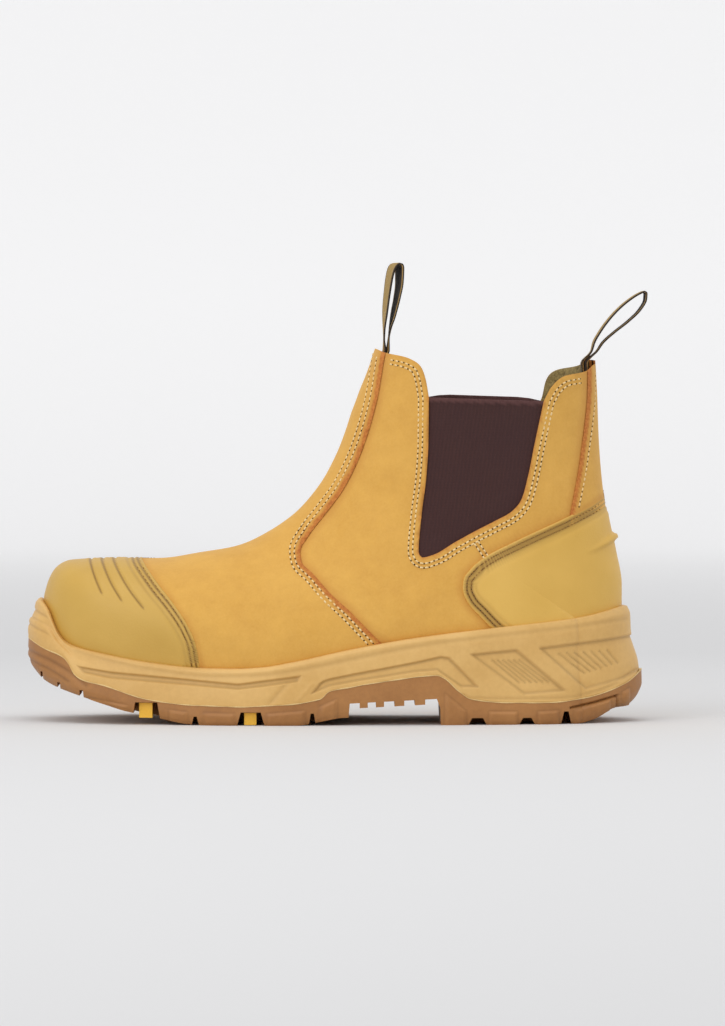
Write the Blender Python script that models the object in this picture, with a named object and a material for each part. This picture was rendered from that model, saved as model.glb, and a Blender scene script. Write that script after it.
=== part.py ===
"""Side gore work boot, left foot: an elastic-sided leather boot on a cup sole.

The toe points to -X, the outer side of the foot to -Y, and Z is up from the floor.
The upper is a fan of sections. Each section is a straight line in the side view, from the
front outline (over the toe, up the instep and shaft) to the back outline (along the sole of
the foot, round the heel and up the back), with a half-width profile across it. Everything
else follows that form: the sole runs round it, and the overlays are cut from larger copies.

In the tables, `at` is a share of LENGTH from the toe tip, and `up` is a share of SHAFT_RISE
above the bottom of the last, or of RIM_HEIGHT above the floor on the sole.
"""
import math

import bmesh
import bpy
import numpy as np
from mathutils import Vector
from mathutils.bvhtree import BVHTree

# Driving sizes, in metres
LENGTH = 0.2832            # upper, from its toe tip to the back of its heel
SHAFT_RISE = 0.1504        # collar front above the heel seat
BALL_WIDTH = 0.1000        # upper, across the ball of the foot
SHAFT_WIDTH = 0.0760       # upper, across the collar
RIM_HEIGHT = 0.0566        # rim of the cup above the floor, at the back of the heel
WALL = 0.0020              # leather with its lining
LAP = 0.0011               # vamp and back strip over the quarters
OVERLAY = 0.0017           # face of toe cap and counter over the quarters
LEDGE = 0.0042             # face of the kick ledge over the quarters
GORE_SINK = 0.0007         # face of the elastic below the leather round it
GORE_THICKNESS = 0.0013
CLEARANCE = 0.0003         # between pieces that meet
RIM_CLEARANCE = 0.0007     # between the sole's rim and the overlays above it
INSOLE_THICKNESS = 0.0040
INSOLE_PLAY = 0.0008       # between the insole's edge and the upper
CUP_FLOOR = 0.0050         # midsole under the foot, where the outsole wraps up round it
WRAP = 0.0040              # outsole where it wraps up round the midsole
RELIEF_DEPTH = 0.0012      # grooves and panels in the side of the midsole
SLOT_REACH = 0.0200        # side slots of the tread, inwards from its edge
CHANNEL_WIDTH = 0.0040     # channel that runs round the tread
CHANNEL_DEPTH = 0.0030
CLEAT_SINK = 0.0012        # cleats behind the edge of the tread
CLEAT_DEPTH = 0.0150
LOOP_WIDTH = 0.0160        # webbing of the pull loops
LOOP_THICKNESS = 0.0016
LOOP_TAIL = 0.0140         # sewn tail of a pull loop inside the collar
TOE_REACH = 0.0097         # sole in front of the upper
LOOP_REACH = 0.0136        # rear pull loop behind the upper

TOE_X = (TOE_REACH - LENGTH - LOOP_REACH) / 2
REACH = 0.2                # half-depth of a cutter that passes right through

# The sole from the side: (at, up)
LAST_BOTTOM = [(0.003, 0.654), (0.020, 0.610), (0.081, 0.495), (0.151, 0.406), (0.236, 0.345),
               (0.342, 0.327), (0.434, 0.353), (0.540, 0.433), (0.645, 0.530), (0.751, 0.583),
               (0.984, 0.592)]
RIM = [(-0.011, 1.065), (-0.006, 1.039), (0.006, 0.965), (0.014, 0.873), (0.025, 0.763),
       (0.038, 0.696), (0.052, 0.663), (0.105, 0.602), (0.185, 0.530), (0.279, 0.486),
       (0.334, 0.482), (0.380, 0.495), (0.428, 0.535), (0.535, 0.650), (0.642, 0.744),
       (0.774, 0.825), (0.937, 0.920), (1.004, 1.000)]
SPLIT = [(-0.033, 0.730), (-0.002, 0.645), (0.033, 0.569), (0.043, 0.509), (0.052, 0.429),
         (0.067, 0.382), (0.105, 0.336), (0.145, 0.269), (0.185, 0.216), (0.239, 0.180),
         (0.338, 0.163), (0.401, 0.175), (0.479, 0.228), (0.495, 0.295), (0.535, 0.334),
         (0.642, 0.415), (0.680, 0.431), (0.693, 0.405), (0.719, 0.288), (0.739, 0.224),
         (0.821, 0.189), (0.878, 0.189), (0.937, 0.224), (1.009, 0.339), (1.039, 0.449)]
TREAD = [(-0.032, 0.451), (-0.013, 0.390), (0.017, 0.314), (0.057, 0.247), (0.105, 0.175),
         (0.148, 0.110), (0.201, 0.057), (0.255, 0.007), (0.276, 0.000), (0.434, 0.000),
         (0.525, 0.067), (0.610, 0.067), (0.688, 0.000), (0.921, 0.000), (0.951, 0.034),
         (0.988, 0.122), (1.018, 0.143), (1.041, 0.212)]

# The fan of the upper, toe to collar: (front at, front up, back at, back up)
FAN = [(0.020, 0.000, 0.162, 0.000), (0.008, 0.035, 0.176, 0.000), (0.001, 0.086, 0.194, 0.000),
       (0.000, 0.143, 0.215, 0.000), (0.005, 0.194, 0.238, 0.000), (0.017, 0.255, 0.264, 0.000),
       (0.036, 0.296, 0.292, 0.000), (0.061, 0.320, 0.324, 0.000), (0.105, 0.350, 0.363, 0.000),
       (0.155, 0.375, 0.412, 0.000), (0.208, 0.393, 0.476, 0.000), (0.271, 0.421, 0.554, 0.000),
       (0.335, 0.447, 0.645, 0.000), (0.389, 0.489, 0.744, 0.000), (0.435, 0.543, 0.836, 0.000),
       (0.470, 0.606, 0.900, 0.000), (0.488, 0.649, 0.946, 0.000), (0.501, 0.691, 0.974, 0.000),
       (0.512, 0.732, 0.989, 0.017), (0.521, 0.771, 0.999, 0.110), (0.529, 0.810, 0.999, 0.223),
       (0.536, 0.848, 0.989, 0.336), (0.544, 0.885, 0.977, 0.442), (0.551, 0.920, 0.968, 0.549),
       (0.559, 0.954, 0.963, 0.655), (0.566, 0.986, 0.960, 0.762), (0.573, 1.023, 0.958, 0.868),
       (0.591, 1.110, 0.953, 1.040)]
HEEL_ROW = 18              # first row whose back end is behind the heel, so its sides meet
TOP_ROW = len(FAN) - 1
HEEL_CENTRE_AT = 0.875     # centre of the heel's round end

# Widths and shape of the sections: fan row, greatest half-width and half-width at the back
# end (shares of the width there), place of the greatest along the section, sideways shift
# (share of BALL_WIDTH), weight of SHAFT_WIDTH against BALL_WIDTH, and fullness of the four
# stretches of the profile
SECTIONS = [
    (0, 0.375, 0.370, 0.85, 0.058, 0.0, 0.60, 0.50, 0.50, 0.30, 0.30),
    (3, 0.450, 0.420, 0.80, 0.048, 0.0, 0.62, 0.55, 0.50, 0.25, 0.35),
    (6, 0.475, 0.435, 0.80, 0.028, 0.0, 0.75, 0.60, 0.50, 0.25, 0.35),
    (9, 0.500, 0.445, 0.78, -0.009, 0.0, 0.66, 0.52, 0.50, 0.25, 0.35),
    (12, 0.462, 0.350, 0.72, -0.036, 0.1, 0.52, 0.46, 0.50, 0.25, 0.40),
    (15, 0.475, 0.385, 0.60, -0.014, 0.7, 0.55, 0.46, 0.50, 0.20, 0.45),
    (18, 0.485, 0.400, 0.55, 0.000, 0.9, 0.58, 0.50, 0.55, 0.00, 0.66),
    (21, 0.490, 0.400, 0.50, 0.000, 1.0, 0.58, 0.52, 0.52, 0.00, 0.60),
    (24, 0.485, 0.400, 0.50, 0.000, 1.0, 0.60, 0.54, 0.52, 0.00, 0.58),
    (27, 0.500, 0.400, 0.50, 0.000, 1.0, 0.62, 0.55, 0.54, 0.00, 0.60)]
SECTION_NAMES = ["wide", "low", "widest", "shift", "leg", "crown", "shoulder", "belly",
                 "tuck_along", "tuck_across"]

# Edges on the upper, from the side: (at, up)
COLLAR_FRONT = [(0.540, 1.074), (0.575, 1.048), (0.589, 1.031), (0.630, 0.998), (0.652, 0.966),
                (0.661, 0.923), (0.667, 0.859)]
COLLAR_REAR = [(0.866, 0.830), (0.880, 0.877), (0.902, 0.911), (0.941, 0.927), (0.959, 0.951),
               (0.999, 0.954)]
GORE_EDGE = [(0.667, 0.859), (0.666, 0.704), (0.662, 0.590), (0.655, 0.490), (0.649, 0.359),
             (0.656, 0.340), (0.676, 0.345), (0.711, 0.376), (0.749, 0.411), (0.781, 0.441),
             (0.810, 0.471), (0.826, 0.506), (0.838, 0.581), (0.850, 0.691), (0.866, 0.830)]
CAP_EDGE = [(0.151, 0.446), (0.166, 0.390), (0.185, 0.346), (0.201, 0.312), (0.226, 0.262),
            (0.252, 0.194), (0.266, 0.135), (0.273, 0.058), (0.275, 0.020)]
VAMP_EDGE = [(0.603, 1.110), (0.596, 1.067), (0.589, 1.001), (0.579, 0.893), (0.565, 0.796),
             (0.545, 0.696), (0.518, 0.604), (0.489, 0.539), (0.457, 0.470), (0.444, 0.426),
             (0.446, 0.394), (0.466, 0.350), (0.498, 0.274), (0.530, 0.209), (0.562, 0.137),
             (0.585, 0.085), (0.600, 0.050)]
COUNTER_EDGE = [(1.100, 0.560), (0.972, 0.515), (0.945, 0.486), (0.898, 0.443), (0.851, 0.404),
                (0.805, 0.364), (0.769, 0.330), (0.742, 0.292), (0.726, 0.250), (0.725, 0.223),
                (0.734, 0.177), (0.755, 0.132), (0.774, 0.094), (0.800, 0.050)]
STRIP_EDGE = [(0.944, 1.060), (0.944, 0.988), (0.944, 0.890), (0.930, 0.636), (0.924, 0.570),
              (0.912, 0.457)]
LEDGE_EDGE = [(0.935, 0.323), (0.967, 0.369), (0.988, 0.402), (1.020, 0.416), (1.020, 0.386),
              (0.988, 0.371), (0.967, 0.349), (0.942, 0.323)]

# Relief in the side of the midsole: (at, up of the sole)
RELIEF = [
    [(0.059, 0.495), (0.116, 0.452), (0.338, 0.355), (0.388, 0.389), (0.444, 0.424),
     (0.441, 0.378), (0.384, 0.339), (0.338, 0.311), (0.116, 0.399), (0.068, 0.442)],
    [(0.465, 0.276), (0.481, 0.375), (0.495, 0.401), (0.535, 0.442), (0.642, 0.542),
     (0.688, 0.592), (0.702, 0.580), (0.751, 0.327), (0.723, 0.327), (0.681, 0.473),
     (0.642, 0.459), (0.535, 0.375), (0.495, 0.339)],
    [(0.739, 0.608), (0.818, 0.645), (0.903, 0.288), (0.832, 0.260)],
    [(0.858, 0.659), (1.015, 0.746), (1.060, 0.753), (1.060, 0.490), (1.009, 0.382),
     (0.940, 0.297)]]

# How far the sole's side stands out from the upper at the rim, as shares of TOE_REACH, from
# the bottom of each piece to its top: (level, at the toe, along the sides, at the heel)
MIDSOLE_WALL = [(0.00, 0.970, 0.740, 1.200), (0.15, 1.000, 0.720, 1.134),
                (0.45, 0.930, 0.640, 0.866), (0.66, 0.700, 0.575, 0.660),
                (0.90, 0.608, 0.515, 0.619), (1.00, 0.450, 0.370, 0.470)]
OUTSOLE_WALL = [(0.00, 0.370, 0.580, 0.530), (0.22, 0.845, 0.720, 1.030),
                (0.50, 1.000, 0.775, 1.216), (1.00, 0.970, 0.740, 1.200)]

# Tread: cuts as (from at, to at, up), measured at the floor, and slanted arch and heel cuts
SIDE_SLOTS = [(0.156, 0.201, 0.195), (0.339, 0.380, 0.115)]
CROSS_NOTCHES = [(0.259, 0.268, 0.075), (0.461, 0.470, 0.105), (0.738, 0.763, 0.060),
                 (0.826, 0.847, 0.058), (0.898, 0.911, 0.110)]
TOE_NOTCHES = [(-0.010, -0.004, 0.440), (0.020, 0.028, 0.352), (0.060, 0.070, 0.292)]
ARCH = [(0.525, -0.100), (0.530, 0.190), (0.680, 0.228), (0.686, 0.150), (0.688, -0.100)]
CLEATS = [("front", 0.166, 0.189, 0.060), ("mid", 0.348, 0.369, 0.004)]

# Pull loops: outer and inner outline, as offsets along X and Z from where each leaves the
# collar, in shares of LOOP_WIDTH
FRONT_LOOP = [(-0.100, 0.000), (-0.080, 0.700), (0.030, 1.650), (0.125, 2.450), (0.290, 2.730),
              (0.500, 2.770), (0.620, 2.640), (0.610, 2.200), (0.480, 1.520), (0.240, 0.570),
              (0.100, 0.000)]
FRONT_EYE = [(0.030, 0.420), (0.050, 0.800), (0.150, 1.640), (0.240, 2.350), (0.350, 2.600),
             (0.490, 2.610), (0.500, 2.230), (0.370, 1.560), (0.140, 0.640)]
REAR_LOOP = [(-0.100, 0.000), (0.250, 0.740), (0.830, 1.380), (1.600, 2.080), (1.750, 2.150),
             (1.790, 2.080), (1.720, 1.960), (1.400, 1.480), (0.860, 1.020), (0.330, 0.450),
             (0.100, 0.000)]
REAR_EYE = [(0.150, 0.430), (0.380, 0.760), (0.900, 1.310), (1.560, 1.920), (1.330, 1.560),
            (0.790, 1.110), (0.330, 0.620)]
FRONT_LOOP_UP = 1.046      # height where the front loop leaves the collar
REAR_LOOP_UP = 0.962

# Mesh fineness
FOOT_ROWS = 22
LEG_ROWS = 9
COLUMNS = 20
TOE_STEPS = 8
SIDE_STEPS = 11
HEEL_STEPS = 7
RIM_STEPS = 24             # points of an overlay's lower edge
COUNTER_STEPS = 28         # steps of the counter's, vamp's and gores' edges
VAMP_STEPS = 28
GORE_STEPS = 30

COLOURS = {
    "nubuck": ((0.72, 0.40, 0.09, 1.0), 0.85), "overlay": ((0.62, 0.39, 0.09, 1.0), 0.5),
    "midsole": ((0.72, 0.47, 0.19, 1.0), 0.6), "rubber": ((0.43, 0.19, 0.06, 1.0), 0.6),
    "elastic": ((0.065, 0.02, 0.024, 1.0), 0.9), "webbing": ((0.40, 0.24, 0.10, 1.0), 0.9),
    "footbed": ((0.22, 0.16, 0.05, 1.0), 0.9), "cleat": ((0.97, 0.58, 0.07, 1.0), 0.5)}


class Track:
    """A smooth line through table rows that never swings past a row, level beyond its ends."""

    def __init__(self, rows):
        rows = np.array(rows, float)
        self.x, self.y = rows[:, 0], rows[:, 1]
        step = np.diff(self.x)
        slope = np.diff(self.y) / step
        self.tilt = np.zeros(len(self.y))
        for i in range(1, len(self.y) - 1):
            if slope[i - 1] * slope[i] > 0:
                near, far = 2 * step[i] + step[i - 1], step[i] + 2 * step[i - 1]
                self.tilt[i] = (near + far) / (near / slope[i - 1] + far / slope[i])
        self.tilt[0], self.tilt[-1] = slope[0], slope[-1]

    def __call__(self, x):
        x = np.clip(x, self.x[0], self.x[-1])
        i = np.clip(np.searchsorted(self.x, x) - 1, 0, len(self.x) - 2)
        h = self.x[i + 1] - self.x[i]
        t = (x - self.x[i]) / h
        return (self.y[i] * (1 + 2 * t) * (1 - t) ** 2 + self.y[i + 1] * t * t * (3 - 2 * t)
                + h * self.tilt[i] * t * (1 - t) ** 2 + h * self.tilt[i + 1] * t * t * (t - 1))


def smooth_path(points, steps):
    """`steps` + 1 points along a smooth curve through `points`."""
    points = np.array(points, float)
    along = np.r_[0, np.cumsum(np.linalg.norm(np.diff(points, axis=0), axis=1))]
    where = np.linspace(0, along[-1], steps + 1)
    return np.column_stack([Track(np.column_stack([along, c]))(where) for c in points.T])


def beside(path, distance):
    """The path moved sideways by `distance`, to the left of its direction."""
    run = np.gradient(path, axis=0)
    run /= np.linalg.norm(run, axis=1)[:, None]
    return path + distance * np.column_stack([-run[:, 1], run[:, 0]])


# Places
def x_at(at):
    return TOE_X + np.asarray(at) * LENGTH


def sole_line(rows):
    """A line of the sole in the side view, as a function of x."""
    track = Track(rows)
    return lambda x: track((x - TOE_X) / LENGTH) * RIM_HEIGHT


last_bottom = sole_line(LAST_BOTTOM)
rim = sole_line(RIM)
split = sole_line(SPLIT)
tread = sole_line(TREAD)


def on_upper(rows):
    """Side view points of an edge on the upper."""
    rows = np.array(rows, float)
    x = x_at(rows[:, 0])
    return np.column_stack([x, last_bottom(x) + rows[:, 1] * SHAFT_RISE])


def on_sole(rows):
    rows = np.array(rows, float)
    return np.column_stack([x_at(rows[:, 0]), rows[:, 1] * RIM_HEIGHT])


# The form of the upper
FAN_TRACKS = [Track([(row, values[k]) for row, values in enumerate(FAN)]) for k in range(4)]
SECTION_TRACKS = {name: Track([(values[0], values[k + 1]) for values in SECTIONS])
                  for k, name in enumerate(SECTION_NAMES)}


def bezier(a, b, c, d, t):
    return a * (1 - t) ** 3 + 3 * b * t * (1 - t) ** 2 + 3 * c * t * t * (1 - t) + d * t ** 3


def base_point(row, turn):
    """A point of the quarters' surface. `turn` runs from -1, the outer side's lower edge,
    over 0 on the front outline to 1, the inner side's lower edge."""
    front_at, front_up, back_at, back_up = (track(row) for track in FAN_TRACKS)
    s = {name: track(row) for name, track in SECTION_TRACKS.items()}
    width = BALL_WIDTH * (1 - s["leg"]) + SHAFT_WIDTH * s["leg"]
    heel_end = FAN[HEEL_ROW][2]
    past = np.clip((back_at - HEEL_CENTRE_AT) / (heel_end - HEEL_CENTRE_AT), 0, 1)
    open_below = np.where(row < HEEL_ROW, np.sqrt(1 - past ** 2), 0.0)
    wide, low = s["wide"] * width, s["low"] * width * open_below
    half = np.abs(turn)
    upper, t = half < 0.5, np.where(half < 0.5, 2 * half, 2 * half - 1)
    rest = 1 - s["widest"]
    along = np.where(
        upper,
        bezier(0, 0, s["widest"] * (1 - s["shoulder"]), s["widest"], t),
        bezier(s["widest"], s["widest"] + rest * s["belly"], 1 - rest * s["tuck_along"], 1, t))
    across = np.where(
        upper,
        bezier(0, wide * s["crown"], wide, wide, t),
        bezier(wide, wide, low + (wide - low) * s["tuck_across"], low, t))
    front_x, back_x = x_at(front_at), x_at(back_at)
    front_z = last_bottom(front_x) + front_up * SHAFT_RISE
    back_z = last_bottom(back_x) + back_up * SHAFT_RISE
    x = front_x + (back_x - front_x) * along
    z = front_z + (back_z - front_z) * along
    y = s["shift"] * BALL_WIDTH + np.sign(turn) * across
    return np.stack([x, y, z], axis=-1)


def skin(row, turn, offset):
    """The quarters' surface moved outwards by `offset`."""
    row, turn = np.broadcast_arrays(np.asarray(row, float), np.asarray(turn, float))
    step = 1e-4
    ahead = np.where(row < TOP_ROW - step, step, -step)
    along = (base_point(row + ahead, turn) - base_point(row, turn)) / ahead[..., None]
    right, left = np.minimum(turn + step, 1), np.maximum(turn - step, -1)
    around = base_point(row, right) - base_point(row, left)
    normal = np.cross(along, around)
    normal /= np.linalg.norm(normal, axis=-1)[..., None]
    return base_point(row, turn) + normal * np.asarray(offset)[..., None]


def fan_rows():
    """Rows of the mesh, closer together where the heel closes."""
    share = np.linspace(0, 1, FOOT_ROWS)
    foot = HEEL_ROW * (1 - (1 - share) ** 1.35)
    return np.r_[foot, np.linspace(HEEL_ROW, TOP_ROW, LEG_ROWS + 1)[1:]]


ROWS = fan_rows()
TURNS = np.linspace(-1, 1, COLUMNS + 1)


def rows_between(first, last):
    """The mesh rows that run through a part of the fan."""
    return ROWS[(ROWS >= first) & (ROWS <= last)]


def skin_grid(offset, floor_lift, rows):
    """Grid of skin points whose lower edge lies `floor_lift` above the last's bottom."""
    row, turn = np.meshgrid(rows, TURNS, indexing="ij")
    base = base_point(row, turn)
    if callable(offset):
        offset = offset(base)
    grid = skin(row, turn, offset)
    seam = (row >= HEEL_ROW) & (np.abs(turn) == 1)
    grid[..., 1] = np.where(seam, base[..., 1], grid[..., 1])
    edge = (row == 0) | ((np.abs(turn) == 1) & (row < HEEL_ROW))
    floor = last_bottom(grid[..., 0]) + floor_lift
    grid[..., 2] = np.where(edge, floor, grid[..., 2])
    return grid


# Blender helpers
def remove_all():
    for obj in list(bpy.data.objects):
        bpy.data.objects.remove(obj)


def make_collection(name):
    collection = bpy.data.collections.new(name)
    bpy.context.scene.collection.children.link(collection)
    return collection


def make_material(name):
    colour, roughness = COLOURS[name]
    material = bpy.data.materials.new(name)
    material.use_nodes = True
    shader = material.node_tree.nodes["Principled BSDF"]
    shader.inputs["Base Color"].default_value = colour
    shader.inputs["Roughness"].default_value = roughness
    shader.inputs["Metallic"].default_value = 0.0
    material.diffuse_color = colour
    return material


def halves(points, face):
    """A four-cornered face as two triangles, along its shorter diagonal."""
    if len(face) < 4:
        return [face]
    a, b, c, d = face
    first = np.linalg.norm(points[a] - points[c])
    second = np.linalg.norm(points[b] - points[d])
    if first <= second:
        return [(a, b, c), (a, c, d)]
    return [(a, b, d), (b, c, d)]


def mesh_object(name, points, faces, collection):
    """An object from points and faces, with doubled points joined."""
    bm = bmesh.new()
    corners = [bm.verts.new(Vector(p)) for p in points]
    for face in faces:
        for triangle in halves(points, face):
            bm.faces.new([corners[i] for i in triangle])
    bmesh.ops.remove_doubles(bm, verts=bm.verts, dist=1e-6)
    bmesh.ops.dissolve_degenerate(bm, edges=bm.edges, dist=1e-7)
    bmesh.ops.recalc_face_normals(bm, faces=bm.faces)
    mesh = bpy.data.meshes.new(name)
    bm.to_mesh(mesh)
    bm.free()
    obj = bpy.data.objects.new(name, mesh)
    collection.objects.link(obj)
    return obj


def as_part(obj, material):
    obj.data.materials.clear()
    obj.data.materials.append(material)
    obj.data.shade_smooth()
    obj.data.set_sharp_from_angle(angle=math.radians(35))


def as_cutter(obj):
    obj.hide_render = True
    obj.display_type = "WIRE"


def combine(obj, other, operation):
    """A live Boolean between two objects: DIFFERENCE, UNION or INTERSECT."""
    step = obj.modifiers.new(operation.lower() + "_" + other.name, "BOOLEAN")
    step.operation = operation
    step.solver = "EXACT"
    step.object = other


def prism(name, outlines, y_low, y_high, collection):
    """Side view outlines drawn out along Y, as one cutter."""
    bm = bmesh.new()
    for outline in outlines:
        face = bm.faces.new([bm.verts.new((x, y_low, z)) for x, z in outline])
        drawn = bmesh.ops.extrude_face_region(bm, geom=[face])["geom"]
        corners = [item for item in drawn if isinstance(item, bmesh.types.BMVert)]
        bmesh.ops.translate(bm, verts=corners, vec=(0, y_high - y_low, 0))
    bmesh.ops.recalc_face_normals(bm, faces=bm.faces)
    mesh = bpy.data.meshes.new(name)
    bm.to_mesh(mesh)
    bm.free()
    obj = bpy.data.objects.new(name, mesh)
    collection.objects.link(obj)
    as_cutter(obj)
    return obj


def through(name, outlines, collection):
    return prism(name, outlines, -REACH, REACH, collection)


# Solids of the upper
def grid_faces(rows, columns, start):
    """Quads of a grid of points that begins at index `start`."""
    faces = []
    for r in range(rows - 1):
        for c in range(columns - 1):
            a = start + r * columns + c
            b, d, e = a + 1, a + columns, a + columns + 1
            if c < columns // 2:
                faces += [(a, b, d), (b, e, d)]
            else:
                faces += [(a, b, e), (a, e, d)]
    return faces


def skin_shell(name, outer, inner, collection, fan=ROWS):
    """The wall between two offsets of the upper's surface, open below and at its top row."""
    grids = [skin_grid(outer, 0.0, fan), skin_grid(inner, 0.0, fan)]
    rows, columns = grids[0].shape[:2]
    count = rows * columns
    points = np.concatenate([g.reshape(-1, 3) for g in grids])
    faces = grid_faces(rows, columns, 0) + grid_faces(rows, columns, count)
    for c in range(columns - 1):
        for base in (0, (rows - 1) * columns):
            a = base + c
            faces.append((a, a + 1, count + a + 1, count + a))
    for r in range(min(np.count_nonzero(fan < HEEL_ROW), rows - 1)):
        for c in (0, columns - 1):
            a = r * columns + c
            faces.append((a, a + columns, count + a + columns, count + a))
    return mesh_object(name, points, faces, collection)


def last_form(name, offset, collection):
    """The space that the foot and upper fill, closed below and at the top."""
    grid = skin_grid(offset, -offset, ROWS)
    rows, columns = grid.shape[:2]
    faces = grid_faces(rows, columns, 0)
    for base in (0, (rows - 1) * columns):
        for c in range(columns // 2):
            mirror = columns - 1 - c
            if mirror - c > 2:
                faces.append((base + c, base + c + 1, base + mirror - 1, base + mirror))
            else:
                faces.append((base + c, base + c + 1, base + mirror))
    for r in range(np.count_nonzero(ROWS < HEEL_ROW)):
        a, b = r * columns, (r + 1) * columns
        faces.append((a, b, b + columns - 1, a + columns - 1))
    obj = mesh_object(name, grid.reshape(-1, 3), faces, collection)
    as_cutter(obj)
    return obj


def rim_run(start, end, clear):
    """The rim's line between two places, raised by `clear`."""
    x = np.linspace(x_at(start), x_at(end), RIM_STEPS)
    line = np.column_stack([x, rim(x)])
    return beside(line, clear if end > start else -clear)


def above_rim(edge):
    """The part of an edge path that lies above the rim."""
    return edge[edge[:, 1] > rim(edge[:, 0]) + RIM_CLEARANCE]


def cap_outline():
    edge = above_rim(smooth_path(on_upper(CAP_EDGE), 24))
    foot = (edge[-1, 0] - TOE_X) / LENGTH
    run = rim_run(foot, -0.08, RIM_CLEARANCE)
    top = on_upper([(-0.08, 0.60), (0.10, 0.60)])
    return np.concatenate([edge, run[1:], top])


def vamp_outline():
    edge = above_rim(beside(smooth_path(on_upper(CAP_EDGE), 24), CLEARANCE))
    seam = above_rim(smooth_path(on_upper(VAMP_EDGE), VAMP_STEPS))[::-1]
    ends = (np.array([edge[-1, 0], seam[0, 0]]) - TOE_X) / LENGTH
    run = rim_run(ends[0], ends[1], RIM_CLEARANCE)
    top = on_upper([(0.50, 1.20), (0.30, 0.85), (0.16, 0.55)])
    return np.concatenate([edge, run[1:-1], seam, top])


def counter_outline():
    edge = above_rim(smooth_path(on_upper(COUNTER_EDGE), COUNTER_STEPS))
    run = rim_run((edge[-1, 0] - TOE_X) / LENGTH, 1.10, RIM_CLEARANCE)
    return np.concatenate([edge, run[1:]])


def strip_outline():
    seam = smooth_path(on_upper(STRIP_EDGE), 16)
    counter = beside(smooth_path(on_upper(COUNTER_EDGE), COUNTER_STEPS), -CLEARANCE)
    counter = counter[counter[:, 0] > seam[-1, 0]][::-1]
    keep = seam[seam[:, 1] > counter[0, 1]]
    return np.concatenate([keep, counter, on_upper([(1.10, 1.10)])])


def gore_outline(inset):
    """Outline of the elastic, drawn in by `inset`."""
    return beside(smooth_path(on_upper(GORE_EDGE), GORE_STEPS), inset)


def topline_outline():
    """Everything above the collar, with the two gore openings."""
    front = smooth_path(on_upper(COLLAR_FRONT), 16)
    rear = smooth_path(on_upper(COLLAR_REAR), 16)
    return np.concatenate([on_upper([(0.40, 1.60), (0.40, 1.15)]), front, gore_outline(0.0)[1:],
                           rear[1:], on_upper([(1.10, 0.96), (1.10, 1.60)])])


def make_upper(parts, cutters):
    upper = skin_shell("upper", 0.0, -WALL, parts)
    laps = skin_shell("laps", LAP, -WALL / 2, cutters, np.r_[ROWS[:-1], TOP_ROW - 0.3])
    as_cutter(laps)
    combine(laps, through("lap_panels", [vamp_outline(), strip_outline()], cutters), "INTERSECT")
    combine(upper, laps, "UNION")
    combine(upper, through("topline", [topline_outline()], cutters), "DIFFERENCE")
    return upper


def make_overlay(name, outline, fan, parts, cutters):
    overlay = skin_shell(name, OVERLAY, CLEARANCE, parts, fan)
    combine(overlay, through(name + "_outline", [outline], cutters), "INTERSECT")
    return overlay


def ledge_face(points):
    """The kick ledge's height over the quarters: full at the back, fading forwards."""
    start, full = x_at(0.940), x_at(0.990)
    t = np.clip((points[..., 0] - start) / (full - start), 0, 1)
    return OVERLAY * 0.9 + (LEDGE - OVERLAY * 0.9) * t * t * (3 - 2 * t)


def make_counter(parts, cutters):
    counter = make_overlay("heel_counter", counter_outline(), rows_between(9, TOP_ROW), parts,
                           cutters)
    ledge = skin_shell("ledge", ledge_face, OVERLAY / 2, cutters,
                       rows_between(HEEL_ROW, TOP_ROW))
    as_cutter(ledge)
    combine(ledge, through("ledge_outline", [on_upper(LEDGE_EDGE)], cutters), "INTERSECT")
    combine(counter, ledge, "UNION")
    return counter


def make_gore(name, side, parts, cutters):
    gore = skin_shell(name, -GORE_SINK, -GORE_SINK - GORE_THICKNESS, parts,
                      rows_between(12, TOP_ROW))
    low, high = sorted((0.0, side * REACH))
    outline = gore_outline(CLEARANCE)
    combine(gore, prism(name + "_outline", [outline], low, high, cutters), "INTERSECT")
    return gore


# Solids of the sole
def plan_stations():
    """Rays from the middle of the sole: (centre at, direction x, direction y, toe weight,
    heel weight), from the toe tip down the outer side, round the heel and back."""
    outer = []
    for k in range(TOE_STEPS):
        angle = math.pi / 2 * k / TOE_STEPS
        outer.append((0.165, -math.cos(angle), -math.sin(angle), math.cos(angle) ** 2, 0.0))
    for k in range(SIDE_STEPS + 1):
        centre = 0.165 + (HEEL_CENTRE_AT - 0.165) * k / SIDE_STEPS
        outer.append((centre, 0.0, -1.0, 0.0, 0.0))
    for k in range(1, HEEL_STEPS + 1):
        angle = math.pi / 2 * k / HEEL_STEPS
        outer.append((HEEL_CENTRE_AT, math.sin(angle), -math.cos(angle), 0.0,
                      math.sin(angle) ** 2))
    inner = [(at, dx, -dy, toe, heel) for at, dx, dy, toe, heel in outer[-2:0:-1]]
    return outer + inner


def rim_contour(form):
    """Plan points where rays from the middle of the sole meet the upper at the rim."""
    tree = BVHTree.FromPolygons([v.co for v in form.data.vertices],
                                [p.vertices for p in form.data.polygons])
    toe_shift = SECTIONS[1][4] * BALL_WIDTH
    contour = []
    for at, dx, dy, toe, heel in plan_stations():
        start_y = toe_shift if at <= 0.165 else 0.0
        x = float(x_at(at)) + dx * BALL_WIDTH * 0.4
        for _ in range(6):
            start = Vector((float(x_at(at)), start_y, float(rim(x))))
            hit = tree.ray_cast(start, Vector((dx, dy, 0.0)))[0]
            x = hit.x
        contour.append((hit.x, hit.y))
    return np.array(contour)


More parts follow.
